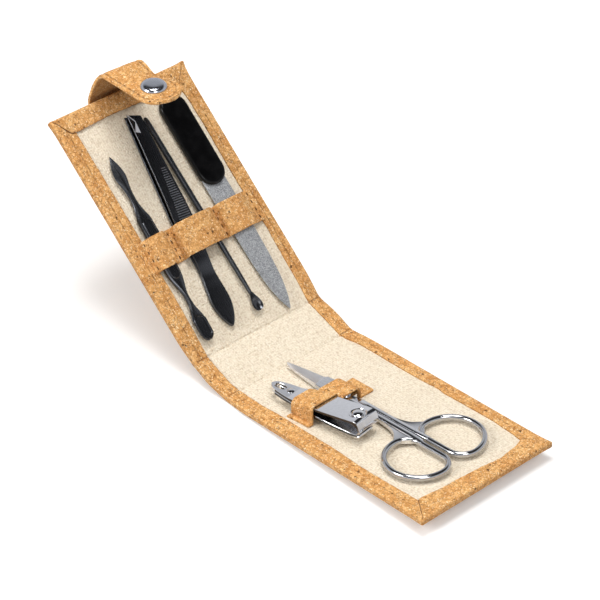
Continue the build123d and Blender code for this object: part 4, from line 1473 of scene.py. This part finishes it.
lever = stamped("clipper_lever_arm", [lever_outline(), circle(1.7, 0, POST_Y)], clipper_place,
                bright_steel, bevel=0.2, thick=0.9, slices=(-3, -1.5, 0, 1.5, 3),
                cuts=[2.2, 3.4, 5, 8, 12, 16, 20, 24, 28, 32, 36], shape=lever_shape)
finished(lever, "clipper_lever", "bright_steel", "clipper_lever")
print("clipper", [len(made.data.polygons) for made in (recess, post, rivet, lever)])

# %% [markdown]
# ## Scissors
#
# The two halves cross at the screw. Each is a ground blade, a flat lug, a straight shank
# with rounded edges and a ring of round wire with a flat web where they join. Both halves
# are drawn for the right hand side; the upper one is mirrored.

# %% Blades and shanks
scissors_place = on_front(-2.3, 35.5, 1.6)


def blade_rings(z0, z1, side):
    """Rings up the blade: flat inner face, ground outer edge, blunt shoulder."""
    stations = [(-3.5, 3.0, 3.0), (-2.0, 4.05, 4.05), (0.0, 4.2, 4.2), (4.0, 4.2, 4.2),
                (10.0, 4.0, 4.0), (13.3, 3.75, 3.75), (13.9, 3.0, 3.1), (14.5, 2.6, 2.7),
                (18.5, 2.2, 2.3), (22.5, 1.8, 1.9), (28.0, 1.15, 1.25), (32.2, 0.6, 0.64),
                (33.3, 0.38, 0.34), (33.6, 0.2, 0.15)]
    rings = []
    for y, left, right in stations:
        thin = 1.0 if y < 13.4 else 1.0 - 0.45 * min((y - 13.4) / 20.0, 1.0)
        top = z1 if side > 0 else z0 + (z1 - z0) * thin
        low = z1 - (z1 - z0) * thin if side > 0 else z0
        ground = 0.0 if y < 13.4 else 1.0
        b = min(0.28, left * 0.4)
        g = b + ground * min(1.25, right * 0.62)
        drop = 0.22 + ground * 0.62 * thin
        rings.append([(-left + b, y, low), (right - 0.12, y, low), (right, y, low + 0.12),
                      (right, y, top - drop), (right - g, y, top), (-left + b, y, top),
                      (-left, y, top - 0.22), (-left, y, low + 0.22)])
    return rings


def shank_rings(z_lug):
    """Rings down the shank, rounded in section, from the lug to the ring."""
    stations = [(-1.2, 0.15, 3.9, z_lug[0] + 0.02, z_lug[1] - 0.02), (-2.4, 0.15, 3.7, *z_lug),
                (-5.0, 0.15, 3.35, z_lug[0] - 0.05, z_lug[1] + 0.1), (-8.0, 0.15, 2.85, 0.95, 3.85),
                (-12.0, 0.15, 2.6, 1.15, 3.85), (-22.0, 0.15, 2.6, 1.5, 3.85),
                (-30.0, 0.15, 2.6, 1.5, 3.85), (-38.0, 0.2, 2.7, 1.5, 3.85),
                (-41.5, 0.35, 2.9, 1.5, 3.8), (-44.0, 0.6, 3.1, 1.5, 3.7)]
    rings = []
    for y, left, right, low, high in stations:
        r = min(0.75, (high - low) * 0.34, (right - left) * 0.3)
        ring = []
        near = r * 0.6
        for cx, cz, a0 in ((right - r, low + r, -90), (right - r, high - r, 0),
                           (left + near, high - near, 90), (left + near, low + near, 180)):
            radius = r if cx > (left + right) / 2 else near
            for k in range(4):
                a = math.radians(a0 + 30 * k)
                ring.append((cx + radius * math.cos(a), y, cz + radius * math.sin(a)))
        rings.append(ring)
    return rings


print("blade rings", len(blade_rings(0.6, 2.3, 1)), "shank", len(shank_rings((0.6, 2.3))))

# %% [markdown]
# ## Ring and web
#
# The finger ring is forged round, and a thin flat web fills the corner between it and the
# shank. The wire is a small circle swept round the ring's middle line; the web is three
# lines joined above and below.

# %% Ring and web
RING_Z, WIRE, RING_Y = 2.45, 1.22, -49.1     # height, half thickness and middle of the ring
RING_SIDE, RING_CORNER, RING_BOW = 1.9, 7.2, 13.4


def ring_path():
    """Middle line of the wire: a straight side by the axis and a wide bow."""
    straight, centre = RING_BOW - RING_CORNER, RING_SIDE + RING_CORNER

    def corner(degrees, lift):
        return [(centre - RING_CORNER * math.cos(a),
                 RING_Y + lift + RING_CORNER * math.sin(a)) for a in map(math.radians, degrees)]

    path = [(RING_SIDE, RING_Y + straight * k / 4) for k in range(-4, 5)]
    path += corner(range(8, 91, 8), straight)
    path += [(centre + RING_BOW * math.sin(a), RING_Y + RING_BOW * math.cos(a))
             for a in map(math.radians, range(4, 180, 4))]
    return path + corner(range(-88, -7, 8), -straight)


def wire_faces(path, radius, z, start):
    points, count, around = [], len(path), 28
    for i, p in enumerate(path):
        before, after = Vector(path[i - 1]), Vector(path[(i + 1) % count])
        heading = (after - before).normalized()
        side = Vector((heading.y, -heading.x))
        points += [(p[0] + side.x * radius * math.cos(a), p[1] + side.y * radius * math.cos(a),
                    z + radius * math.sin(a)) for a in turns(around)]
    faces = grid_faces(count, around, True, start)
    last = (count - 1) * around
    for k in range(around):
        d = (k + 1) % around
        faces.append((start + last + k, start + last + d, start + d, start + k))
    return points, faces


def web_parts(start):
    """Flat web between shank and ring, slightly dished."""
    edge = spline([(2.2, -20.5), (2.62, -24.0), (3.35, -28.0), (4.9, -31.6), (7.6, -34.3),
                   (9.3, -35.75)], 5)
    inner = spline([(0.8, -22.0), (0.8, -26.0), (0.9, -31.0), (1.3, -36.0), (2.3, -40.0),
                    (3.2, -40.6)], 5)
    ring_line = spline([(1.5, -20.9), (1.7, -25.0), (2.0, -29.5), (2.9, -34.0), (4.2, -37.8),
                        (6.6, -37.3)], 5)
    points = []
    for a, m, b in zip(inner, ring_line, edge):
        for p, z in ((a, 3.3), (m, 3.12), (b, 3.3), (b, 1.5), (m, 1.6), (a, 1.5)):
            points.append((p.x, p.y, z))
    return points, tube_faces(len(inner), 6, start)


print("points on the ring's middle line", len(ring_path()))

# %% [markdown]
# ## Putting a half together
#
# Blade, shank, ring and web become one mesh, and faces are given their finish by where
# they lie: ground on top of the blade, a quieter steel on the ring.

# %% Scissors halves and screw
def scissors_half(name, heights, side, body, node):
    points, faces = [], []

    for rings in (blade_rings(*heights, side), shank_rings(heights)):
        faces += tube_faces(len(rings), len(rings[0]), len(points))
        points += strung(rings)
    more, extra = wire_faces(ring_path(), WIRE, RING_Z, len(points))
    wire = range(len(faces), len(faces) + len(extra))
    points, faces = points + more, faces + extra
    more, extra = web_parts(len(points))
    points, faces = points + more, faces + extra
    shown = points if side > 0 else [(-x, y, z) for x, y, z in points]
    made = piece(name, shown, faces, scissors_place, bright_steel, 32.0)
    made.data.materials.append(ground_steel)
    made.data.materials.append(ring_steel)
    for face in made.data.polygons:
        if face.center.y > 0.0139 and face.normal.z > 0.25:
            face.material_index = 1
        elif face.index in wire:
            face.material_index = 2
    return finished(made, body, "bright_steel", node)


half_low = scissors_half("scissors_half_low", (0.6, 2.3), 1, "scissors_right_half",
                         "scissors_right_half")
half_high = scissors_half("scissors_half_high", (2.4, 4.1), -1, "scissors", "scissors_left_half")
SCREW_RADIUS, SLOT = 2.3, math.asin(0.13)    # the slot parts the head into two cheeks
cheeks = [begin + SLOT + (math.pi - 2 * SLOT) * k / 20 for begin in (0.0, math.pi)
          for k in range(21)]
screw = stamped("scissors_screw_head", [[(SCREW_RADIUS * math.cos(a), SCREW_RADIUS * math.sin(a))
                                         for a in cheeks]],
                scissors_place @ shift(0, 0, 4.1), bright_steel, bevel=0.18, thick=0.6)
finished(screw, "scissors", "bright_steel", "scissors_screw")
print("scissors", len(half_low.data.polygons), len(half_high.data.polygons))

# %% [markdown]
# ## Cuticle pusher
#
# A forged double tool: a spear at the top, a flat spoon at the bottom and a grip between
# with a raised panel. Rings of changing shape along one axis give the bar, from diamond to
# round to flat.

# %% Cuticle pusher bar
pusher_place = on_back(-22.0, 46.5, -2.0) @ shift(0, 0, 2.2)
PUSHER = [                  # y, half width, half height, squareness from 0 (diamond) to 1
    (-41.0, 0.9, 0.3, 0.8), (-40.6, 1.5, 0.32, 0.8), (-39.6, 2.3, 0.34, 0.8),
    (-38.0, 2.85, 0.35, 0.8), (-36.0, 3.1, 0.35, 0.8), (-33.0, 3.1, 0.36, 0.8),
    (-31.0, 2.95, 0.42, 0.7), (-28.5, 2.3, 0.6, 0.6), (-25.5, 1.45, 0.85, 0.5),
    (-22.0, 1.15, 1.0, 0.5), (-19.0, 1.35, 1.0, 0.5), (-14.5, 2.6, 1.0, 0.6),
    (-12.0, 3.15, 1.0, 0.75), (-9.0, 3.4, 1.0, 0.8), (0.0, 3.4, 1.0, 0.8), (10.0, 3.4, 1.0, 0.8),
    (13.0, 3.35, 1.0, 0.8), (15.5, 3.2, 1.0, 0.75), (18.0, 2.45, 1.0, 0.6), (20.9, 1.75, 1.0, 0.5),
    (23.5, 1.4, 0.95, 0.5), (26.0, 1.4, 0.9, 0.45), (28.5, 1.6, 0.85, 0.4), (31.6, 2.15, 0.8, 0.3),
    (33.4, 2.55, 0.75, 0.2), (35.2, 2.72, 0.7, 0.1), (37.5, 2.5, 0.6, 0.0), (40.0, 1.9, 0.5, 0.0),
    (42.6, 0.95, 0.35, 0.0), (44.5, 0.12, 0.12, 0.0)]


def bar_ring(y, w, h, square, count=20):
    """Ring from a diamond (0) through an ellipse (0.5) to a rounded oblong (1)."""
    power = 2.0 - 2.0 * square if square < 0.5 else 1.0 - 1.3 * (square - 0.5)
    return [(w * math.copysign(abs(math.cos(a)) ** power, math.cos(a)), y,
             h * math.copysign(abs(math.sin(a)) ** power, math.sin(a))) for a in turns(count)]


def swell(table, step):
    """Table with smooth rows put in between."""
    rows, y = [], table[0][0]
    for a, b in zip(table, table[1:]):
        count = max(int((b[0] - a[0]) / step), 1)
        for k in range(count):
            t = k / count
            rows.append(tuple(u + (v - u) * t for u, v in zip(a, b)))
    return rows + [table[-1]]


def smooth_table(table, steps=3):
    points = spline([Vector(r) for r in table], steps)
    return [(p[0], max(p[1], 0.05), max(p[2], 0.05), min(max(p[3], 0.0), 1.0)) for p in points]


pusher = loft("cuticle_pusher_bar", [bar_ring(*r) for r in smooth_table(PUSHER)], pusher_place,
              black_nickel, 26.0)
finished(pusher, "cuticle_pusher", "dark_steel", "cuticle_pusher")
print("pusher bar faces", len(pusher.data.polygons))

# %% [markdown]
# ## The pusher's panel and rim
#
# The grip has a raised oblong panel and the spoon a thin rim. Both are stamped outlines
# with a bevel laid on the bar, which keeps their edges crisp.

# %% Panel and rim
def panel_outline(y0, y1, half, count=10):
    arc = [(half * math.cos(math.pi * k / count), half * math.sin(math.pi * k / count))
           for k in range(count + 1)]
    return [(x, y1 - half + y) for x, y in arc] + [(-x, y0 + half - y) for x, y in arc]


panel = stamped("cuticle_pusher_panel", [panel_outline(-12.8, 15.0, 2.3)],
                pusher_place @ shift(0, 0, 0.85), black_nickel, bevel=0.3, thick=0.62)
rim = stamped("cuticle_pusher_rim",
              [panel_outline(-40.9, -29.6, 2.95), panel_outline(-40.0, -30.6, 2.1)],
              pusher_place @ shift(0, 0, 0.15), black_nickel, bevel=0.2, thick=0.75)
for made in (panel, rim):
    finished(made, "cuticle_pusher", "dark_steel")
print("panel and rim faces", len(panel.data.polygons), len(rim.data.polygons))

# %% [markdown]
# ## Tweezers
#
# Two spring arms are stamped from sheet, welded at the tail and bowed apart towards the
# slanted tips. Each is one outline cut across at many places, so that a short table can
# lift it along its length.

# %% Tweezers arms
tweezers_place = on_back(-10.4, 6.2, -5.2)
PLAN = [(0.0, 0.15), (1.5, 1.5), (5.0, 3.2), (9.0, 4.3), (12.5, 4.5), (17.0, 4.1), (23.0, 3.4),
        (28.0, 3.3), (34.0, 3.7), (41.0, 4.4), (47.0, 4.7), (52.0, 4.6), (64.0, 4.1), (80.0, 3.5),
        (90.0, 3.2), (97.0, 3.05)]
LOWER_ARM = [(-1, 0.9), (76, 0.9), (88, 1.3), (98, 1.75)]
UPPER_ARM = [(-1, 1.72), (17, 1.72), (22, 1.87), (31, 2.75), (36, 2.95), (60, 4.1), (90, 4.3),
             (98, 4.3)]
TIP_SLANT = 1.8
ARM = 0.8                   # thickness of the sheet


def plan_outline():
    side = spline([Vector((w, y)) for y, w in PLAN], 3)
    right = [(max(p.x, 0.1), p.y) for p in side]
    return right + [(-x, y) for x, y in reversed(right)]


def arm(name, heights, body, node, crown):
    def shape(x, y, share):
        bottom = read(heights, y)
        half = read([(a, b) for a, b in PLAN], y)
        slant = TIP_SLANT * (x + 3.05) / 6.1 * min(max((y - 86.0) / 11.0, 0.0), 1.0)
        ground = max(y - 95.5, 0.0) * 0.24
        droop = crown * min(abs(x) / max(half, 0.5), 1.0) ** 2.5
        return x, y - slant, bottom + ARM * share - ground * share - droop

    made = stamped(name, [plan_outline()], tweezers_place, black_nickel, bevel=0.14, thick=ARM,
                   cuts=[1.5 + 2.0 * k for k in range(42)] + [86.0, 87.5, 89, 91, 93, 94.4, 95.6],
                   slices=(-3.6, -2.4, -1.2, 0.0, 1.2, 2.4, 3.6), shape=shape)
    return finished(made, body, "dark_steel", node)


arm_low = arm("tweezers_arm_low", LOWER_ARM, "tweezers", "tweezers_lower_arm", 0.0)
arm_high = arm("tweezers_arm_high", UPPER_ARM, "tweezers_upper_arm", "tweezers_upper_arm", 0.1)

print("tweezers arms ready")

# %% [markdown]
# ## The tweezers' ground tip and grip
#
# The tip is ground to a small bright facet, and fine ribs give the fingers hold. The facet
# is a thin prism laid on the arm; the ribs are low ridges that follow its curve.

# %% Ground tip and ribs
RIBS = 25
TIP_GROUND = [(-3.0, 96.6), (-0.75, 93.5), (-0.85, 88.0), (-3.1, 89.0), (-0.95, 93.1)]
points = [(x, y, read(UPPER_ARM, y) + ARM + (-0.2 * (x + 0.6) + 0.08 if up else -0.3))
          for up in (False, True) for x, y in TIP_GROUND]
faces = [(4, 3, 2, 1, 0), (5, 6, 7, 8, 9)]
faces += [(i, (i + 1) % 5, (i + 1) % 5 + 5, i + 5) for i in range(5)]
facet = piece("tweezers_tip_ground", points, faces, tweezers_place, ground_steel, 20.0)
finished(facet, "tweezers_upper_arm", "bright_steel")

points, faces = [], []
for k in range(RIBS):
    y = 46.6 + 1.02 * k
    share = (y - 48.0) / 23.0
    x0, x1 = -2.2 + 2.5 * share, 3.9 - 1.5 * share
    z = read(UPPER_ARM, y) + ARM
    faces += tube_faces(5, 4, len(points))
    for j in range(5):
        x = x0 + (x1 - x0) * j / 4
        half = read(PLAN, y)
        drop = 0.1 * min(abs(x) / half, 1.0) ** 2.5
        for dy, dz in ((-0.27, -0.06), (-0.1, 0.2), (0.1, 0.2), (0.27, -0.06)):
            points.append((x, y + dy, z - drop + dz))
ribs = piece("tweezers_grip_ribs", points, faces, tweezers_place, rib_grey_nickel, 30.0)
finished(ribs, "tweezers_upper_arm", "dark_steel")
print("tweezers", len(arm_low.data.polygons), len(arm_high.data.polygons), "ribs", RIBS)

# %% [markdown]
# ## Ear pick
#
# A thin bar with a small dished scoop. The scoop is a grid pressed into a hollow and given
# thickness, so that its rim catches the light.

# %% Ear pick
pick_place = on_back(4.7, 6.6, 0.6) @ shift(0, 0, 2.4)
PICK = [(6.6, 0.85, 0.55, 0.6), (8.6, 0.8, 0.75, 0.6), (14.0, 0.95, 0.9, 0.6),
        (30.0, 1.1, 1.05, 0.6), (46.0, 1.2, 1.15, 0.6), (70.0, 1.2, 1.15, 0.6),
        (90.6, 1.2, 1.15, 0.6), (92.2, 0.95, 0.9, 0.6), (92.8, 0.45, 0.4, 0.6)]
pick = loft("ear_pick_bar", [bar_ring(*r, 16) for r in swell(PICK, 2.0)], pick_place,
            black_nickel, 30.0)
finished(pick, "ear_pick", "dark_steel", "ear_pick")
SCOOP = [(0.0, 0.7), (0.25, 1.35), (0.9, 2.0), (2.0, 2.35), (3.2, 2.35), (4.4, 2.1), (5.6, 1.6),
         (6.8, 1.15), (8.2, 0.8)]
rows, columns, points = spline([Vector(p) for p in SCOOP], 3), 11, []
for layer in (0, 1):
    for p in rows:
        for c in range(columns):
            u = -1 + 2 * c / (columns - 1)
            x = u * p.y
            deep = max(1 - (((p.x - 2.5) / 2.9) ** 2 + (x / 2.3) ** 2), 0.0)
            rise = 0.35 * max(p.x - 5.0, 0.0) / 3.2
            top = 0.62 - 1.05 * deep ** 0.7 - 0.1 * abs(u) ** 6 + 0.1 * rise
            points.append((x, p.x, top if layer == 0 else top - 0.55 + 0.25 * abs(u) ** 4))
count, last = len(rows) * columns, len(rows) - 1
faces = grid_faces(len(rows), columns)
faces += numbered([face[::-1] for face in faces], count)
edge = [r * columns for r in range(last + 1)] + [last * columns + c for c in range(1, columns)]
edge += [r * columns + columns - 1 for r in range(last - 1, -1, -1)]
edge += list(range(columns - 2, 0, -1))
for i, a in enumerate(edge):
    b = edge[(i + 1) % len(edge)]
    faces.append((a, b, b + count, a + count))
scoop = piece("ear_pick_scoop", points, faces, pick_place, black_nickel, 40.0)
finished(scoop, "ear_pick", "dark_steel")
print("ear pick", len(scoop.data.polygons))

# %% [markdown]
# ## Nail file
#
# The blade is thin steel coated with grit and ends in a point; a black handle is moulded
# round its top. The handle is a slab with well rounded edges.

# %% Nail file
file_place = on_back(18.0, 1.4, 0.0)
BLADE = [(0.0, 0.12), (2.0, 1.05), (6.0, 2.5), (13.0, 3.95), (22.0, 4.75), (32.0, 5.1), (46.0, 5.5),
         (66.0, 5.5)]
side = [(p.y, p.x) for p in spline([Vector(p) for p in BLADE], 4)]
blade = stamped("file_blade", [side + [(-x, y) for x, y in reversed(side)]],
                file_place @ shift(0, 0, 1.5), file_grit, bevel=0.14, thick=0.6)
finished(blade, "nail_file", "file_steel", "nail_file_blade")
handle = stamped("file_handle", [panel_outline(59.9, 102.6, 6.5, 20)],
                 file_place @ shift(0.4, 0, 0.8), black_handle, bevel=1.0, thick=3.1, rounds=5,
                 sharp=70.0)
finished(handle, "nail_file", "black_handle", "nail_file_handle")
print("file", len(blade.data.polygons), len(handle.data.polygons))

# %% [markdown]
# ## Snap
#
# A snap has four turned parts: the domed cap and its socket on the tab, the stud and its
# back plate on the front. The cap's edge is rolled, which gives it a bright rim. The back
# plate is hidden in the card and stays as the solid made it.

# %% Snap
flap_place = back_frame @ shift(TAB_X, *TAB_CREST) @ turn(-FLAP_LEAN) @ shift(0, -SNAP_OUT, 0)
cap = lathe("snap_cap_dome", [(0.0, 2.64), (1.5, 2.637), (2.8, 2.62), (3.7, 2.57), (4.25, 2.46),
                              (4.65, 2.28), (4.97, 2.04), (5.25, 1.74), (5.45, 1.45), (5.58, 1.2),
                              (5.6, 1.0), (5.5, 0.8), (5.2, 0.72), (2.5, 0.72), (2.25, 0.6),
                              (2.25, -2.2), (2.06, -2.2), (2.06, 1.5), (0.0, 1.5)],
            flap_place, snap_metal, 64)
finished(cap, "tab_flap", "snap_metal", "snap_cap")
socket = lathe("snap_socket_ring", [(2.6, -0.7), (5.0, -0.7), (5.2, -0.9), (5.2, -1.7), (5.0, -2.0),
                                    (4.6, -2.18), (3.9, -2.2), (3.5, -1.95), (3.1, -1.95),
                                    (2.75, -2.2), (2.4, -2.15), (2.3, -1.9), (2.6, -0.7)],
               flap_place, snap_metal, 56)
finished(socket, "tab_flap", "snap_metal", "snap_socket")
STUD_AT = 98.230            # from the crease to the stud's middle
stud_place = front_frame @ turn(180, "Z") @ shift(TAB_X, -STUD_AT, 0)
stud = lathe("snap_stud_post", [(0.0, -7.4), (0.9, -7.36), (1.5, -7.15), (1.72, -6.75),
                                (1.82, -6.2), (1.78, -5.6), (1.5, -5.05), (1.42, -4.2),
                                (1.5, -3.5), (2.2, -3.25), (3.9, -3.2), (4.35, -3.12),
                                (4.5, -2.95), (4.45, -2.8), (0.0, -2.8)],
             stud_place, snap_metal, 48)
finished(stud, "front_section", "snap_metal", "snap_stud")
print("snap", [len(made.data.polygons) for made in (cap, socket, stud)])

# %% [markdown]
# ## Camera
#
# The camera stands high in front and to the left with a long lens, which keeps the case's
# long edges nearly parallel. It is made here so that every view is the same.

# %% Camera
azimuth, elevation = math.radians(-42.592), math.radians(35.661)
away = Vector((math.sin(azimuth) * math.cos(elevation), -math.cos(azimuth) * math.cos(elevation),
               math.sin(elevation)))
right = Vector((math.cos(azimuth), math.sin(azimuth), 0.0))
up = away.cross(right)
camera = new_object("camera", bpy.data.cameras.new("camera"))
reach, aside, lifted = 1198.86, 4.037, 25.350    # from the first crease, in millimetres
spot = (CREASE + away * reach + right * aside + up * lifted) * 0.001
camera.matrix_world = Matrix.Translation(spot) @ Matrix((right, up, away)).transposed().to_4x4()
camera.data.lens, camera.data.sensor_width = 176.39, 36.0
camera.data.clip_start, camera.data.clip_end = 0.1, 10.0
bpy.context.scene.camera = camera
print("camera at", [round(v, 3) for v in spot])

# %% [markdown]
# ## Surroundings
#
# The surroundings are plain: a dim white light for matt surfaces, full white for the
# camera, mirrors and glass. A ray knows what sent it out, so a mix of two backgrounds can
# tell them apart. The image keeps its colours as they are, without a film look.

# %% Surroundings
bpy.context.scene.view_settings.view_transform = "Standard"
world = bpy.data.worlds.new("surroundings")
bpy.context.scene.world = world
sky = Shop("surroundings", world)
camera_ray = sky.node("ShaderNodeLightPath", out="Is Camera Ray")
mirrored = camera_ray.other("Is Transmission Ray") + camera_ray.other("Is Glossy Ray")
seen = sky.node("ShaderNodeMath", {"operation": "ADD", "use_clamp": True}, camera_ray, mirrored)
dim = sky.node("ShaderNodeBackground", {}, (1.0, 0.99, 0.97), 0.26)
white = sky.node("ShaderNodeBackground", {}, (1, 1, 1), 1.0)
sky.node("ShaderNodeOutputWorld", {}, sky.node("ShaderNodeMixShader", {}, seen, dim, white))
print("world nodes", len(world.node_tree.nodes))

# %% [markdown]
# ## Lamps
#
# A round lamp overhead gives the main light and a very wide one above it softens the
# shadows; a lamp on the left lifts the floor under the raised back and a weak one stands in
# front. The widest is hidden from mirror rays, so it leaves no white patch on the steel.

# %% Lamps
def lamp(name, place, aim, size, power):
    data = bpy.data.lights.new(name, "AREA")
    data.shape, data.size, data.energy = "DISK", size, power
    made = new_object(name, data)
    made.location = place
    made.rotation_euler = (Vector(place) - Vector(aim)).to_track_quat("Z", "Y").to_euler()
    return made


LAMPS = [                   # name, place, aimed at, size, power
    ("lamp_above", (0.02, 0.05, 1.15), (0, 0, 0.02), 0.5, 7.5),
    ("lamp_left", (-0.80, 0.25, 0.62), (0, 0, 0.03), 0.45, 5.2),
    ("lamp_front", (-0.35, -0.80, 0.85), (0, 0, 0.03), 0.5, 2.7),
    ("lamp_cloth", (0.0, -0.35, 1.5), (0, 0, 0), 2.2, 6.5)]
lamps = [lamp(*values) for values in LAMPS]
lamps[-1].visible_glossy = False
print("lamps", len(lamps))

# %% [markdown]
# ## What polished steel sees
#
# Polished steel shows whatever is round it, and needs something dark and something pale
# to mirror. A shell stands round the table, pale low down and black overhead. It is seen
# by mirror rays alone, so it neither lights nor shades the case.

# %% Dark room
def dark_room():
    """Dark shell high round the table that only polished surfaces see."""
    rings, sectors, radius = 14, 40, 2.4
    points = []
    for i in range(rings):
        climb = math.radians(3 + 87 * i / (rings - 1))
        points += [(radius * math.cos(climb) * math.cos(a),
                    radius * math.cos(climb) * math.sin(a), radius * math.sin(climb))
                   for a in turns(sectors)]
    made = mesh_object("dark_room", points, grid_faces(rings, sectors, wrap=True))
    shop = Shop("dark_room")
    where = shop.node("ShaderNodeTexCoord", out=3)
    height = shop.node("ShaderNodeSeparateXYZ", {}, where, out=2)
    grey = shop.ramp(height / radius, (0.05, (0.30, 0.30, 0.31)), (0.2, (0.55, 0.56, 0.58)),
                     (0.33, (0.74, 0.75, 0.78)), (0.42, (0.68, 0.69, 0.72)),
                     (0.53, (0.62, 0.63, 0.66)), (0.6, (0.5, 0.51, 0.53)),
                     (0.645, (0.06, 0.06, 0.065)), (0.75, (0.02, 0.02, 0.022)))
    shop.finish(Base_Color=(0, 0, 0), Roughness=1.0, Specular_IOR_Level=0.0, Emission_Color=grey,
                Emission_Strength=1.0)
    made.data.materials.append(shop.owner)
    made.visible_camera = made.visible_diffuse = made.visible_shadow = False
    made.visible_transmission = made.visible_volume_scatter = False


dark_room()
print("dark room made")

# %% [markdown]
# ## The table
#
# The table is white and keeps the case's shadow. Towards the camera it glows, faintly near
# the case and fully far from it, so that it runs into the white background without an edge.

# %% Table
WHITE = {"Base_Color": (0.86, 0.86, 0.86), "Roughness": 0.95, "Specular_IOR_Level": 0.0}
FADE_AT, FADE = 420.0, 140.0                 # where the glow grows, in millimetres
NEAR_GLOW, FAR_GLOW = (0.2, 0.2, 0.2), (1, 1, 1)
table = mesh_object("table", [(-2, -2, 0), (2, -2, 0), (2, 2, 0), (-2, 2, 0)], [(0, 1, 2, 3)])
shop = Shop("white_table")
shop.finish(**WHITE)
distance = shop.node("ShaderNodeVectorMath", {"operation": "LENGTH"}, shop.place(), out=1)
glow = shop.mix(distance.above(FADE_AT, FADE), NEAR_GLOW, FAR_GLOW)
glowing = shop.node("ShaderNodeBsdfPrincipled", {}, Emission_Color=glow, Emission_Strength=1.0,
                    **WHITE)
either = shop.node("ShaderNodeMixShader", {},
                   shop.node("ShaderNodeLightPath", out="Is Camera Ray"), shop.surface, glowing)
shop.feed(shop.tree.nodes["Material Output"].inputs[0], either)
table.data.materials.append(shop.owner)
print("table ready")

# %% [markdown]
# ## The carried-over solids
#
# The card inside the cover and the snap's back plate are hidden, and stay as the solids
# made them. They still get the right material.

# %% Materials on the solids that stay
FINISH = {"front_board": card, "spine_board": card, "back_board": card,
          "snap_stud_rivet": snap_metal}
for name, material in FINISH.items():
    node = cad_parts[name]
    node.data.materials.clear()
    node.data.materials.append(material)
print("materials on", len(FINISH), "solids")
